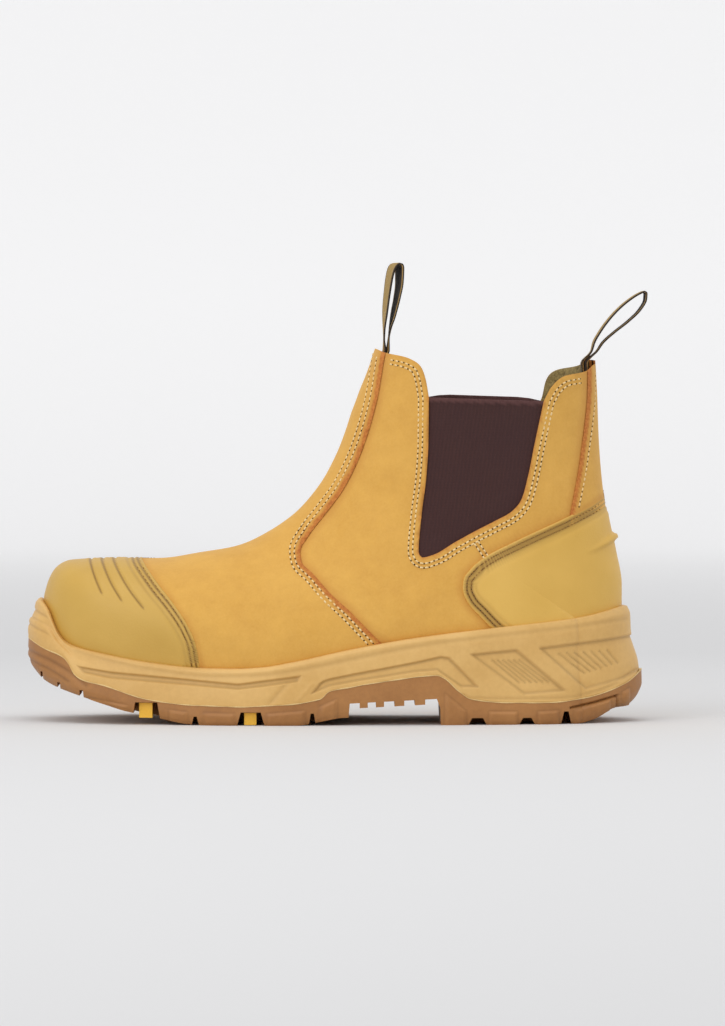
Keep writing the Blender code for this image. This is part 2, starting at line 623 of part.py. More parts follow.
class Sole:
    """Rings round the sole, worked out from the upper's contour at the rim."""

    def __init__(self, form):
        self.contour = rim_contour(form)
        run = np.roll(self.contour, -1, axis=0) - np.roll(self.contour, 1, axis=0)
        run /= np.linalg.norm(run, axis=1)[:, None]
        self.out = np.column_stack([run[:, 1], -run[:, 0]])
        centre = self.contour.mean(axis=0)
        if np.sum(self.out * (self.contour - centre)) < 0:
            self.out = -self.out
        weights = np.array([(toe, heel) for _, _, _, toe, heel in plan_stations()])
        self.toe, self.heel = weights[:, 0], weights[:, 1]

    def stand_out(self, toe, side, heel):
        return TOE_REACH * (side + (toe - side) * self.toe + (heel - side) * self.heel)

    def ring(self, stand_out, height):
        """One ring at an offset from the contour; `height` gives z as a function of x."""
        plan = self.contour + self.out * np.broadcast_to(stand_out, len(self.out))[:, None]
        return np.column_stack([plan, height(plan[:, 0])])

    def solid(self, name, rings, collection):
        """A closed solid through the rings, lowest first, capped by strips across."""
        count = len(self.contour)
        faces = []
        for r in range(len(rings) - 1):
            for i in range(count):
                j = (i + 1) % count
                faces.append((r * count + i, r * count + j, (r + 1) * count + j,
                              (r + 1) * count + i))
        for base in (0, (len(rings) - 1) * count):
            for i in range(count // 2):
                corners = [base + i, base + i + 1, base + (count - i - 1) % count,
                           base + (count - i) % count]
                faces.append(tuple(dict.fromkeys(corners)))
        return mesh_object(name, np.concatenate(rings), faces, collection)

    def band(self, name, outer, inner, low, high, collection):
        """A closed band that runs round the sole between two offsets and two heights."""
        rings = [self.ring(outer, low), self.ring(outer, high), self.ring(inner, high),
                 self.ring(inner, low)]
        count = len(self.contour)
        faces = []
        for r in range(4):
            after = (r + 1) % 4
            for i in range(count):
                j = (i + 1) % count
                faces.append((r * count + i, r * count + j, after * count + j,
                              after * count + i))
        obj = mesh_object(name, np.concatenate(rings), faces, collection)
        as_cutter(obj)
        return obj


def seat_line(x):
    """Top of the outsole inside its wrap, under the midsole."""
    return np.minimum(split(x), last_bottom(x) - CUP_FLOOR)


def between(low, high, level):
    return lambda x: low(x) * (1 - level) + high(x) * level


def raised(line, lift):
    return lambda x: line(x) + lift


def midsole_rings(sole, shrink):
    low = raised(split, CLEARANCE / 2)
    rings = [sole.ring(sole.stand_out(*MIDSOLE_WALL[0][1:]) - shrink - WRAP,
                       raised(seat_line, CLEARANCE / 2))]
    for level, toe, side, heel in MIDSOLE_WALL:
        rings.append(sole.ring(sole.stand_out(toe, side, heel) - shrink,
                               between(low, rim, level)))
    return rings


def make_midsole(sole, parts, cutters):
    midsole = sole.solid("midsole", midsole_rings(sole, 0.0), parts)
    core = sole.solid("midsole_core", midsole_rings(sole, RELIEF_DEPTH), cutters)
    as_cutter(core)
    relief = through("side_relief", [on_sole(rows) for rows in RELIEF], cutters)
    combine(relief, core, "DIFFERENCE")
    combine(midsole, relief, "DIFFERENCE")
    combine(midsole, last_form("cup", CLEARANCE, cutters), "DIFFERENCE")
    return midsole


def outsole_rings(sole, shrink):
    high = raised(split, -CLEARANCE / 2)
    rings = [sole.ring(sole.stand_out(toe, side, heel) - shrink, between(tread, high, level))
             for level, toe, side, heel in OUTSOLE_WALL]
    rings.append(sole.ring(sole.stand_out(*OUTSOLE_WALL[-1][1:]) - shrink - WRAP,
                           raised(seat_line, -CLEARANCE / 2)))
    return rings


def inset_block(sole, name, inset, low, high, cutters):
    """The outsole's plan drawn in by `inset`, between two heights."""
    stand_out = sole.stand_out(*OUTSOLE_WALL[0][1:]) - inset
    block = sole.solid(name, [sole.ring(stand_out, low), sole.ring(stand_out, high)], cutters)
    as_cutter(block)
    return block


def notch(start, end, up):
    """A cut up from below the floor, as a side view outline."""
    low, high = x_at(start), x_at(end)
    top, below = up * RIM_HEIGHT, -RIM_HEIGHT
    return [(low, below), (low, top), (high, top), (high, below)]


def make_outsole(sole, parts, cutters):
    outsole = sole.solid("outsole", outsole_rings(sole, 0.0), parts)
    below, above = (lambda x: 0 * x - RIM_HEIGHT), (lambda x: 0 * x + RIM_HEIGHT)
    slots = through("side_slots", [notch(*row) for row in SIDE_SLOTS], cutters)
    core = inset_block(sole, "slot_core", SLOT_REACH + CHANNEL_WIDTH / 2, below, above, cutters)
    combine(slots, core, "DIFFERENCE")
    edge = sole.stand_out(*OUTSOLE_WALL[0][1:])
    channel = sole.band("channel", edge - SLOT_REACH, edge - SLOT_REACH - CHANNEL_WIDTH, below,
                        raised(tread, CHANNEL_DEPTH), cutters)
    cross = through("cross_notches", [notch(*row) for row in CROSS_NOTCHES + TOE_NOTCHES]
                    + [on_sole(ARCH)], cutters)
    for cutter in (cross, slots, channel):
        combine(outsole, cutter, "DIFFERENCE")
    return outsole


def make_cleat(sole, label, start, end, foot, slot_top, side, parts, cutters):
    """A block in a side slot of the tread."""
    name = "cleat_%s_%s" % (label, "lateral" if side < 0 else "medial")
    low, high = (lambda x: 0 * x + foot * RIM_HEIGHT), (
        lambda x: 0 * x + slot_top * RIM_HEIGHT - CLEARANCE)
    stand_out = sole.stand_out(*OUTSOLE_WALL[0][1:])
    cleat = sole.solid(name, [sole.ring(stand_out - CLEAT_SINK, low),
                              sole.ring(stand_out - CLEAT_SINK, high)], parts)
    edges = sorted((0.0, side * REACH))
    outline = [(x_at(start), -REACH), (x_at(start), REACH), (x_at(end), REACH),
               (x_at(end), -REACH)]
    combine(cleat, prism(name + "_ends", [outline], edges[0], edges[1], cutters), "INTERSECT")
    core = inset_block(sole, name + "_core", CLEAT_SINK + CLEAT_DEPTH,
                       lambda x: 0 * x - RIM_HEIGHT, lambda x: 0 * x + RIM_HEIGHT, cutters)
    combine(cleat, core, "DIFFERENCE")
    return cleat


def inside_edge(row, turn):
    """Plan points inside the upper's lower edge, by its wall and the insole's play."""
    base = base_point(row, turn)
    out = (skin(row, turn, 1.0) - base)[:, :2]
    out /= np.linalg.norm(out, axis=1)[:, None]
    return base[:, :2] - out * (WALL + INSOLE_PLAY)


def make_insole(parts):
    """The footbed, inside the upper's lower edge."""
    turns = TURNS[TURNS <= 0][::-1]
    rows = ROWS[(ROWS > 0) & (ROWS <= HEEL_ROW)]
    row = np.r_[np.zeros(len(turns)), rows]
    turn = np.r_[turns, -np.ones(len(rows))]
    plan = np.concatenate([inside_edge(row, turn), inside_edge(row, -turn)[-2:0:-1]])
    count = len(plan)
    rings = [np.column_stack([plan, last_bottom(plan[:, 0]) + lift])
             for lift in (0.0, INSOLE_THICKNESS)]
    faces = [(i, (i + 1) % count, count + (i + 1) % count, count + i) for i in range(count)]
    for base in (0, count):
        for i in range(count // 2):
            corners = [base + i, base + i + 1, base + (count - i - 1) % count,
                       base + (count - i) % count]
            faces.append(tuple(dict.fromkeys(corners)))
    return mesh_object("insole", np.concatenate(rings), faces, parts)


# Pull loops
def loop_tail(name, at, up, parts, cutters):
    """The tail inside the collar, cut from the upper's own form, and the loop's start."""
    inner = -WALL - CLEARANCE
    tail = skin_shell(name, inner, inner - 2 * LOOP_THICKNESS, parts,
                      rows_between(HEEL_ROW + 3, TOP_ROW))
    x = x_at(at)
    top = float(last_bottom(x)) + up * SHAFT_RISE
    box = [(x - LOOP_WIDTH, top - LOOP_TAIL), (x - LOOP_WIDTH, top + LOOP_THICKNESS),
           (x + LOOP_WIDTH, top + LOOP_THICKNESS), (x + LOOP_WIDTH, top - LOOP_TAIL)]
    combine(tail, prism(name + "_tail", [box], -LOOP_WIDTH / 2, LOOP_WIDTH / 2, cutters),
            "INTERSECT")
    return tail


def make_loop(name, at, up, outline, eye, parts, cutters):
    tail = loop_tail(name, at, up, parts, cutters)
    start = on_upper([(at, up)])[0]
    band = prism(name + "_band", [smooth_path(start + np.array(outline) * LOOP_WIDTH, 36)],
                 -LOOP_WIDTH / 2, LOOP_WIDTH / 2, cutters)
    ring = np.array(eye + eye[:1])
    hole = through(name + "_eye", [smooth_path(start + ring * LOOP_WIDTH, 28)[:-1]], cutters)
    combine(band, hole, "DIFFERENCE")
    combine(tail, band, "UNION")
    return tail


def main():
    remove_all()
    parts = make_collection("side_gore_work_boot")
    cutters = make_collection("cutters")
    materials = {name: make_material(name) for name in COLOURS}
    sole = Sole(last_form("form", 0.0, cutters))
    made = [(make_outsole(sole, parts, cutters), "rubber"),
            (make_midsole(sole, parts, cutters), "midsole"),
            (make_insole(parts), "footbed"),
            (make_upper(parts, cutters), "nubuck"),
            (make_overlay("toe_cap", cap_outline(), rows_between(0, 15), parts, cutters),
             "overlay"),
            (make_counter(parts, cutters), "overlay"),
            (make_gore("gore_lateral", -1, parts, cutters), "elastic"),
            (make_gore("gore_medial", 1, parts, cutters), "elastic"),
            (make_loop("pull_loop_front", 0.592, FRONT_LOOP_UP, FRONT_LOOP, FRONT_EYE, parts,
                       cutters), "webbing"),
            (make_loop("pull_loop_rear", 0.945, REAR_LOOP_UP, REAR_LOOP, REAR_EYE, parts,
                       cutters), "webbing")]
    for (label, start, end, foot), slot in zip(CLEATS, SIDE_SLOTS):
        for side in (-1, 1):
            made.append((make_cleat(sole, label, start, end, foot, slot[2], side, parts,
                                    cutters), "cleat"))
    for obj, material in made:
        as_part(obj, materials[material])


main()
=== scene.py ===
"""Finish of the side gore work boot: leather, stitching, elastic, webbing and moulded soles.

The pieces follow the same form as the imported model. They are built from the same sizes and
tables, with finer meshes, and each one replaces the plain node that it stands for. In the
tables, `at` is a share of LENGTH from the toe tip, and `up` is a share of SHAFT_RISE above
the bottom of the last, or of RIM_HEIGHT above the floor on the sole. Places marked "side
view" are (x, z) in millimetres.
"""

import math

import bmesh
import bpy
import numpy as np
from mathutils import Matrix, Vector
from mathutils.bvhtree import BVHTree


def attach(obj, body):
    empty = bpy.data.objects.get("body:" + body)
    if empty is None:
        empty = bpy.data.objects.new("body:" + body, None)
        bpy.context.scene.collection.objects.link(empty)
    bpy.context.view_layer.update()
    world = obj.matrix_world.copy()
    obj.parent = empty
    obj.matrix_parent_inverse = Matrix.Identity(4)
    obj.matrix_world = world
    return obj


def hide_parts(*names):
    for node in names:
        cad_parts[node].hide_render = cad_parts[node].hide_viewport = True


MM = 0.001

# Driving sizes, in metres
LENGTH = 0.2832
SHAFT_RISE = 0.1504
BALL_WIDTH = 0.1000
SHAFT_WIDTH = 0.0760
RIM_HEIGHT = 0.0566
WALL = 0.0020
LAP = 0.0011
OVERLAY = 0.0017
GORE_SINK = 0.0007
GORE_THICKNESS = 0.0013
CLEARANCE = 0.0003
INSOLE_THICKNESS = 0.0040
INSOLE_PLAY = 0.0008
CUP_FLOOR = 0.0050
WRAP = 0.0040
RELIEF_DEPTH = 0.0012
SLOT_REACH = 0.0200
CHANNEL_WIDTH = 0.0040
CHANNEL_DEPTH = 0.0030
LOOP_WIDTH = 0.0160
TOE_REACH = 0.0097
LOOP_REACH = 0.0136

TOE_X = (TOE_REACH - LENGTH - LOOP_REACH) / 2
# How far the cutters reach to each side
REACH = 0.2
# How deep the vamp, back strip and overlays go into the quarters
UNDERLAP = 0.0008
OVERLAY_SINK = 0.0006

# The sole from the side: (at, up)
LAST_BOTTOM = [(0.003, 0.654), (0.020, 0.610), (0.081, 0.495), (0.151, 0.406), (0.236, 0.345),
               (0.342, 0.327), (0.434, 0.353), (0.540, 0.433), (0.645, 0.530), (0.751, 0.583),
               (0.984, 0.592)]
RIM = [(-0.011, 1.065), (-0.006, 1.039), (0.006, 0.965), (0.014, 0.873), (0.025, 0.763),
       (0.038, 0.696), (0.052, 0.663), (0.105, 0.602), (0.185, 0.530), (0.279, 0.486),
       (0.334, 0.482), (0.380, 0.495), (0.428, 0.535), (0.535, 0.650), (0.642, 0.744),
       (0.774, 0.825), (0.937, 0.920), (1.004, 1.000)]
SPLIT = [(-0.033, 0.730), (-0.002, 0.645), (0.033, 0.569), (0.043, 0.509), (0.052, 0.429),
         (0.067, 0.382), (0.105, 0.336), (0.145, 0.269), (0.185, 0.216), (0.239, 0.180),
         (0.338, 0.163), (0.401, 0.175), (0.479, 0.228), (0.495, 0.295), (0.535, 0.334),
         (0.642, 0.415), (0.680, 0.431), (0.693, 0.405), (0.719, 0.288), (0.739, 0.224),
         (0.821, 0.189), (0.878, 0.189), (0.937, 0.224), (1.009, 0.339), (1.039, 0.449)]
TREAD = [(-0.032, 0.451), (-0.013, 0.390), (0.017, 0.314), (0.057, 0.247), (0.105, 0.175),
         (0.148, 0.110), (0.201, 0.057), (0.255, 0.007), (0.276, 0.000), (0.434, 0.000),
         (0.525, 0.067), (0.610, 0.067), (0.688, 0.000), (0.921, 0.000), (0.951, 0.034),
         (0.988, 0.122), (1.018, 0.143), (1.041, 0.212)]

# The fan of the upper, toe to collar: (front at, front up, back at, back up)
FAN = [(0.020, 0.000, 0.162, 0.000), (0.008, 0.035, 0.176, 0.000), (0.001, 0.086, 0.194, 0.000),
       (0.000, 0.143, 0.215, 0.000), (0.005, 0.194, 0.238, 0.000), (0.017, 0.255, 0.264, 0.000),
       (0.036, 0.296, 0.292, 0.000), (0.061, 0.320, 0.324, 0.000), (0.105, 0.350, 0.363, 0.000),
       (0.155, 0.375, 0.412, 0.000), (0.208, 0.393, 0.476, 0.000), (0.271, 0.421, 0.554, 0.000),
       (0.335, 0.447, 0.645, 0.000), (0.389, 0.489, 0.744, 0.000), (0.435, 0.543, 0.836, 0.000),
       (0.470, 0.606, 0.900, 0.000), (0.488, 0.649, 0.946, 0.000), (0.501, 0.691, 0.974, 0.000),
       (0.512, 0.732, 0.989, 0.017), (0.521, 0.771, 0.999, 0.110), (0.529, 0.810, 0.999, 0.223),
       (0.536, 0.848, 0.989, 0.336), (0.544, 0.885, 0.977, 0.442), (0.551, 0.920, 0.968, 0.549),
       (0.559, 0.954, 0.963, 0.655), (0.566, 0.986, 0.960, 0.762), (0.573, 1.023, 0.958, 0.868),
       (0.591, 1.110, 0.953, 1.040)]
HEEL_ROW = 18
TOP_ROW = len(FAN) - 1
TOE_CENTRE_AT = 0.165
HEEL_CENTRE_AT = 0.875

# The shape across each section: its row, then the values named in SECTION_NAMES
SECTIONS = [
    (0, 0.375, 0.370, 0.85, 0.058, 0.0, 0.60, 0.50, 0.50, 0.30, 0.30),
    (3, 0.450, 0.420, 0.80, 0.048, 0.0, 0.62, 0.55, 0.50, 0.25, 0.35),
    (6, 0.475, 0.435, 0.80, 0.028, 0.0, 0.75, 0.60, 0.50, 0.25, 0.35),
    (9, 0.500, 0.445, 0.78, -0.009, 0.0, 0.66, 0.52, 0.50, 0.25, 0.35),
    (12, 0.462, 0.350, 0.72, -0.036, 0.1, 0.52, 0.46, 0.50, 0.25, 0.40),
    (15, 0.475, 0.385, 0.60, -0.014, 0.7, 0.55, 0.46, 0.50, 0.20, 0.45),
    (18, 0.485, 0.400, 0.55, 0.000, 0.9, 0.58, 0.50, 0.55, 0.00, 0.66),
    (21, 0.490, 0.400, 0.50, 0.000, 1.0, 0.58, 0.52, 0.52, 0.00, 0.60),
    (24, 0.485, 0.400, 0.50, 0.000, 1.0, 0.60, 0.54, 0.52, 0.00, 0.58),
    (27, 0.500, 0.400, 0.50, 0.000, 1.0, 0.62, 0.55, 0.54, 0.00, 0.60)]
SECTION_NAMES = ["wide", "low", "widest", "shift", "leg", "crown", "shoulder", "belly",
                 "tuck_along", "tuck_across"]

# Edges on the upper, from the side: (at, up)
COLLAR_FRONT = [(0.540, 1.074), (0.575, 1.048), (0.589, 1.031), (0.630, 0.998), (0.652, 0.966),
                (0.661, 0.923), (0.667, 0.859)]
COLLAR_REAR = [(0.866, 0.830), (0.880, 0.877), (0.902, 0.911), (0.941, 0.927), (0.959, 0.951),
               (0.999, 0.954)]
GORE_EDGE = [(0.667, 0.859), (0.666, 0.704), (0.662, 0.590), (0.655, 0.490), (0.649, 0.359),
             (0.656, 0.340), (0.676, 0.345), (0.711, 0.376), (0.749, 0.411), (0.781, 0.441),
             (0.810, 0.471), (0.826, 0.506), (0.838, 0.581), (0.850, 0.691), (0.866, 0.830)]
CAP_EDGE = [(0.151, 0.446), (0.166, 0.390), (0.185, 0.346), (0.201, 0.312), (0.226, 0.262),
            (0.252, 0.194), (0.266, 0.135), (0.273, 0.058), (0.275, 0.020)]
VAMP_EDGE = [(0.603, 1.110), (0.596, 1.067), (0.589, 1.001), (0.579, 0.893), (0.565, 0.796),
             (0.545, 0.696), (0.518, 0.604), (0.489, 0.539), (0.457, 0.470), (0.444, 0.426),
             (0.446, 0.394), (0.466, 0.350), (0.498, 0.274), (0.530, 0.209), (0.562, 0.137),
             (0.585, 0.085), (0.600, 0.050)]
COUNTER_EDGE = [(1.100, 0.560), (0.972, 0.515), (0.945, 0.486), (0.898, 0.443), (0.851, 0.404),
                (0.805, 0.364), (0.769, 0.330), (0.742, 0.292), (0.726, 0.250), (0.725, 0.223),
                (0.734, 0.177), (0.755, 0.132), (0.774, 0.094), (0.800, 0.050)]
STRIP_EDGE = [(0.944, 1.060), (0.944, 0.988), (0.944, 0.890), (0.930, 0.636), (0.924, 0.570),
              (0.912, 0.457)]

# Relief in the side of the midsole: (at, up of the sole)
RELIEF = [
    [(0.059, 0.495), (0.116, 0.452), (0.338, 0.355), (0.388, 0.389), (0.444, 0.424),
     (0.441, 0.378), (0.384, 0.339), (0.338, 0.311), (0.116, 0.399), (0.068, 0.442)],
    [(0.465, 0.276), (0.481, 0.375), (0.495, 0.401), (0.535, 0.442), (0.642, 0.542),
     (0.688, 0.592), (0.702, 0.580), (0.751, 0.327), (0.723, 0.327), (0.681, 0.473),
     (0.642, 0.459), (0.535, 0.375), (0.495, 0.339)],
    [(0.739, 0.608), (0.818, 0.645), (0.903, 0.288), (0.832, 0.260)],
    [(0.858, 0.659), (1.015, 0.746), (1.060, 0.753), (1.060, 0.490), (1.009, 0.382),
     (0.940, 0.297)]]

# How far the sole's side stands out from the upper at the rim, as shares of TOE_REACH:
# (level, at the toe, along the sides, at the heel)
MIDSOLE_WALL = [(0.00, 0.970, 0.740, 1.200), (0.15, 1.000, 0.720, 1.134),
                (0.45, 0.930, 0.640, 0.866), (0.66, 0.700, 0.575, 0.660),
                (0.90, 0.608, 0.515, 0.619), (1.00, 0.450, 0.370, 0.470)]
OUTSOLE_WALL = [(0.00, 0.370, 0.580, 0.530), (0.22, 0.845, 0.720, 1.030),
                (0.50, 1.000, 0.775, 1.216), (1.00, 0.970, 0.740, 1.200)]

SIDE_SLOTS = [(0.156, 0.201, 0.195), (0.339, 0.380, 0.115)]
CROSS_NOTCHES = [(0.259, 0.268, 0.075), (0.461, 0.470, 0.105), (0.738, 0.763, 0.060),
                 (0.826, 0.847, 0.058), (0.898, 0.911, 0.110)]
TOE_NOTCHES = [(-0.010, -0.004, 0.440), (0.020, 0.028, 0.352), (0.060, 0.070, 0.292)]
ARCH = [(0.525, -0.100), (0.530, 0.190), (0.680, 0.228), (0.686, 0.150), (0.688, -0.100)]
ARCH_LUGS = [(0.547, 0.561), (0.575, 0.589), (0.607, 0.624), (0.642, 0.660)]
ARCH_LUG_DROP = 0.0025
FRONT_LOOP_UP = 1.046
REAR_LOOP_UP = 0.962


class Track:
    """A smooth line through table rows that never swings past a row, level beyond its ends."""

    def __init__(self, rows):
        rows = np.array(rows, float)
        self.x, self.y = rows[:, 0], rows[:, 1]
        step = np.diff(self.x)
        slope = np.diff(self.y) / step
        self.tilt = np.zeros(len(self.y))
        for i in range(1, len(self.y) - 1):
            if slope[i - 1] * slope[i] > 0:
                near, far = 2 * step[i] + step[i - 1], step[i] + 2 * step[i - 1]
                self.tilt[i] = (near + far) / (near / slope[i - 1] + far / slope[i])
        self.tilt[0], self.tilt[-1] = slope[0], slope[-1]

    def __call__(self, x):
        x = np.clip(x, self.x[0], self.x[-1])
        i = np.clip(np.searchsorted(self.x, x) - 1, 0, len(self.x) - 2)
        h = self.x[i + 1] - self.x[i]
        t = (x - self.x[i]) / h
        return (self.y[i] * (1 + 2 * t) * (1 - t) ** 2 + self.y[i + 1] * t * t * (3 - 2 * t)
                + h * self.tilt[i] * t * (1 - t) ** 2 + h * self.tilt[i + 1] * t * t * (t - 1))


def smooth_path(points, steps):
    """`steps` + 1 points along a smooth curve through `points`."""
    points = np.array(points, float)
    along = np.r_[0, np.cumsum(np.linalg.norm(np.diff(points, axis=0), axis=1))]
    where = np.linspace(0, along[-1], steps + 1)
    return np.column_stack([Track(np.column_stack([along, c]))(where) for c in points.T])


def beside(path, distance):
    """The path moved sideways by `distance`, to the left of its direction."""
    run = np.gradient(path, axis=0)
    run /= np.linalg.norm(run, axis=1)[:, None]
    return path + distance * np.column_stack([-run[:, 1], run[:, 0]])


def smooth_step(low, high, value):
    t = np.clip((value - low) / (high - low), 0, 1)
    return t * t * (3 - 2 * t)


def near_path(path, points):
    """For side view points: distance to the path, with a plus sign on its left, and how far
    along the path the nearest place lies, both in metres."""
    path, points = np.asarray(path, float), np.asarray(points, float)
    start, run = path[:-1], np.diff(path, axis=0)
    size = np.linalg.norm(run, axis=1)
    begun = np.r_[0, np.cumsum(size)[:-1]]
    best = np.full(len(points), 1e9)
    along, sign = np.zeros(len(points)), np.ones(len(points))
    for a, d, length, first in zip(start, run, size, begun):
        t = np.clip(((points - a) @ d) / (length * length), 0, 1)
        gap = points - a - t[:, None] * d
        far = np.linalg.norm(gap, axis=1)
        closer = far < best
        best = np.where(closer, far, best)
        along = np.where(closer, first + t * length, along)
        turn = d[0] * (points[:, 1] - a[1]) - d[1] * (points[:, 0] - a[0])
        sign = np.where(closer, np.where(turn >= 0, 1.0, -1.0), sign)
    return best * sign, along


def inside_polygon(corners, points):
    """Distance of side view points inside a polygon from its edge, negative outside."""
    corners = np.asarray(corners, float)
    ring = np.vstack([corners, corners[:1]])
    distance = np.abs(near_path(ring, points)[0])
    within = np.zeros(len(points), bool)
    for (ax, az), (bx, bz) in zip(ring[:-1], ring[1:]):
        crosses = (az > points[:, 1]) != (bz > points[:, 1])
        with np.errstate(divide="ignore", invalid="ignore"):
            at = ax + (points[:, 1] - az) * (bx - ax) / (bz - az)
        within ^= crosses & (points[:, 0] < at)
    return np.where(within, distance, -distance)


# Places
def x_at(at):
    return TOE_X + np.asarray(at) * LENGTH


def sole_line(rows):
    track = Track(rows)
    return lambda x: track((x - TOE_X) / LENGTH) * RIM_HEIGHT


last_bottom = sole_line(LAST_BOTTOM)
rim = sole_line(RIM)
split = sole_line(SPLIT)
tread = sole_line(TREAD)


def on_upper(rows):
    rows = np.array(rows, float)
    x = x_at(rows[:, 0])
    return np.column_stack([x, last_bottom(x) + rows[:, 1] * SHAFT_RISE])


def on_sole(rows):
    rows = np.array(rows, float)
    return np.column_stack([x_at(rows[:, 0]), rows[:, 1] * RIM_HEIGHT])


def side_view(points):
    return np.array(points, float) * MM


# The form of the upper
FAN_TRACKS = [Track([(row, values[k]) for row, values in enumerate(FAN)]) for k in range(4)]
SECTION_TRACKS = {name: Track([(values[0], values[k + 1]) for values in SECTIONS])
                  for k, name in enumerate(SECTION_NAMES)}


def bezier(a, b, c, d, t):
    return a * (1 - t) ** 3 + 3 * b * t * (1 - t) ** 2 + 3 * c * t * t * (1 - t) + d * t ** 3


def fan_line(row):
    """Front and back end of a section in the side view."""
    front_at, front_up, back_at, back_up = (track(row) for track in FAN_TRACKS)
    front_x, back_x = x_at(front_at), x_at(back_at)
    return (front_x, last_bottom(front_x) + front_up * SHAFT_RISE,
            back_x, last_bottom(back_x) + back_up * SHAFT_RISE)


def share_along(s, turn):
    """Place along its section of a turn, as a share."""
    half = np.abs(turn)
    rest = 1 - s["widest"]
    return np.where(
        half < 0.5,
        bezier(0, 0, s["widest"] * (1 - s["shoulder"]), s["widest"], 2 * half),
        bezier(s["widest"], s["widest"] + rest * s["belly"], 1 - rest * s["tuck_along"], 1,
               2 * half - 1))


def base_point(row, turn):
    """A point of the quarters' surface. `turn` runs from -1, the outer side's lower edge,
    over 0 on the front outline to 1, the inner side's lower edge."""
    s = {name: track(row) for name, track in SECTION_TRACKS.items()}
    width = BALL_WIDTH * (1 - s["leg"]) + SHAFT_WIDTH * s["leg"]
    front_x, front_z, back_x, back_z = fan_line(row)
    heel_end = FAN[HEEL_ROW][2]
    past = np.clip((FAN_TRACKS[2](row) - HEEL_CENTRE_AT) / (heel_end - HEEL_CENTRE_AT), 0, 1)
    open_below = np.where(row < HEEL_ROW, np.sqrt(1 - past ** 2), 0.0)
    wide, low = s["wide"] * width, s["low"] * width * open_below
    half = np.abs(turn)
    upper, t = half < 0.5, np.where(half < 0.5, 2 * half, 2 * half - 1)
    along = share_along(s, turn)
    across = np.where(
        upper,
        bezier(0, wide * s["crown"], wide, wide, t),
        bezier(wide, wide, low + (wide - low) * s["tuck_across"], low, t))
    x = front_x + (back_x - front_x) * along
    z = front_z + (back_z - front_z) * along
    y = s["shift"] * BALL_WIDTH + np.sign(turn) * across
    return np.stack([x, y, z], axis=-1)


def skin_normal(row, turn):
    row, turn = np.broadcast_arrays(np.asarray(row, float), np.asarray(turn, float))
    step = 1e-4
    ahead = np.where(row < TOP_ROW - step, step, -step)
    along = (base_point(row + ahead, turn) - base_point(row, turn)) / ahead[..., None]
    right, left = np.minimum(turn + step, 1), np.maximum(turn - step, -1)
    around = base_point(row, right) - base_point(row, left)
    normal = np.cross(along, around)
    return normal / np.linalg.norm(normal, axis=-1)[..., None]


def skin(row, turn, offset):
    """The quarters' surface moved outwards by `offset`."""
    row, turn = np.broadcast_arrays(np.asarray(row, float), np.asarray(turn, float))
    return base_point(row, turn) + skin_normal(row, turn) * np.asarray(offset)[..., None]


def locate(points, side):
    """Row and turn of side view points on one side of the upper (-1 outer, 1 inner)."""
    points = np.asarray(points, float)
    low, high = np.zeros(len(points)), np.full(len(points), float(TOP_ROW))
    for _ in range(36):
        row = (low + high) / 2
        fx, fz, bx, bz = fan_line(row)
        above = (bx - fx) * (points[:, 1] - fz) - (bz - fz) * (points[:, 0] - fx) > 0
        low, high = np.where(above, row, low), np.where(above, high, row)
    fx, fz, bx, bz = fan_line(row)
    length = np.hypot(bx - fx, bz - fz)
    share = ((points[:, 0] - fx) * (bx - fx) + (points[:, 1] - fz) * (bz - fz)) / length ** 2
    s = {name: track(row) for name, track in SECTION_TRACKS.items()}
    low, high = np.zeros(len(points)), np.ones(len(points))
    for _ in range(36):
        turn = (low + high) / 2
        short = share_along(s, turn) < share
        low, high = np.where(short, turn, low), np.where(short, high, turn)
    return row, side * turn


# Mesh helpers
def add_object(name, data):
    obj = bpy.data.objects.new(name, data)
    bpy.context.scene.collection.objects.link(obj)
    return obj


def add_mesh(name, points, faces, materials, indices=None):
    mesh = bpy.data.meshes.new(name)
    mesh.from_pydata(np.asarray(points).tolist(), [], [tuple(f) for f in faces])
    for material in materials:
        mesh.materials.append(material)
    if indices is not None:
        mesh.polygons.foreach_set("material_index", np.asarray(indices, np.int32))
    mesh.shade_smooth()
    return add_object(name, mesh)


def settle(piece, node=None):
    """Makes a piece ride on the boot and hides the node that it stands for."""
    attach(piece, "root")
    if node:
        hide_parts(node)


def grid_quads(index):
    """The faces of a grid of point numbers."""
    return np.stack([index[:-1, :-1], index[:-1, 1:], index[1:, 1:], index[1:, :-1]],
                    axis=-1).reshape(-1, 4)


def wall_faces(index, edges, count):
    """Faces of a wall between two grids of points, `count` numbers apart, closed along some
    edges, and the number of each face's material (outside, inside, edge)."""
    quads = grid_quads(index)
    parts = [quads, quads[:, ::-1] + count]
    parts += [np.stack([line[1:], line[:-1], line[:-1] + count, line[1:] + count], axis=-1)
              for line in edges]
    kinds = [np.full(len(part), min(k, 2)) for k, part in enumerate(parts)]
    return np.concatenate(parts), np.concatenate(kinds)


def ring_solid(name, rings, material):
    """A closed solid through the rings, lowest first, capped by strips across."""
    count = len(rings[0])
    index = np.arange(count * len(rings)).reshape(len(rings), count)
    near = np.roll(index, -1, axis=1)
    faces = np.stack([index[:-1], near[:-1], near[1:], index[1:]], axis=-1)
    faces = faces.reshape(-1, 4).tolist()
    for base in (0, (len(rings) - 1) * count):
        for i in range(count // 2):
            corners = [base + i, base + i + 1, base + (count - i - 1) % count,
                       base + (count - i) % count]
            faces.append(tuple(dict.fromkeys(corners)))
    obj = add_mesh(name, np.concatenate(rings), faces, [material])
    tidy_mesh(obj)
    return obj


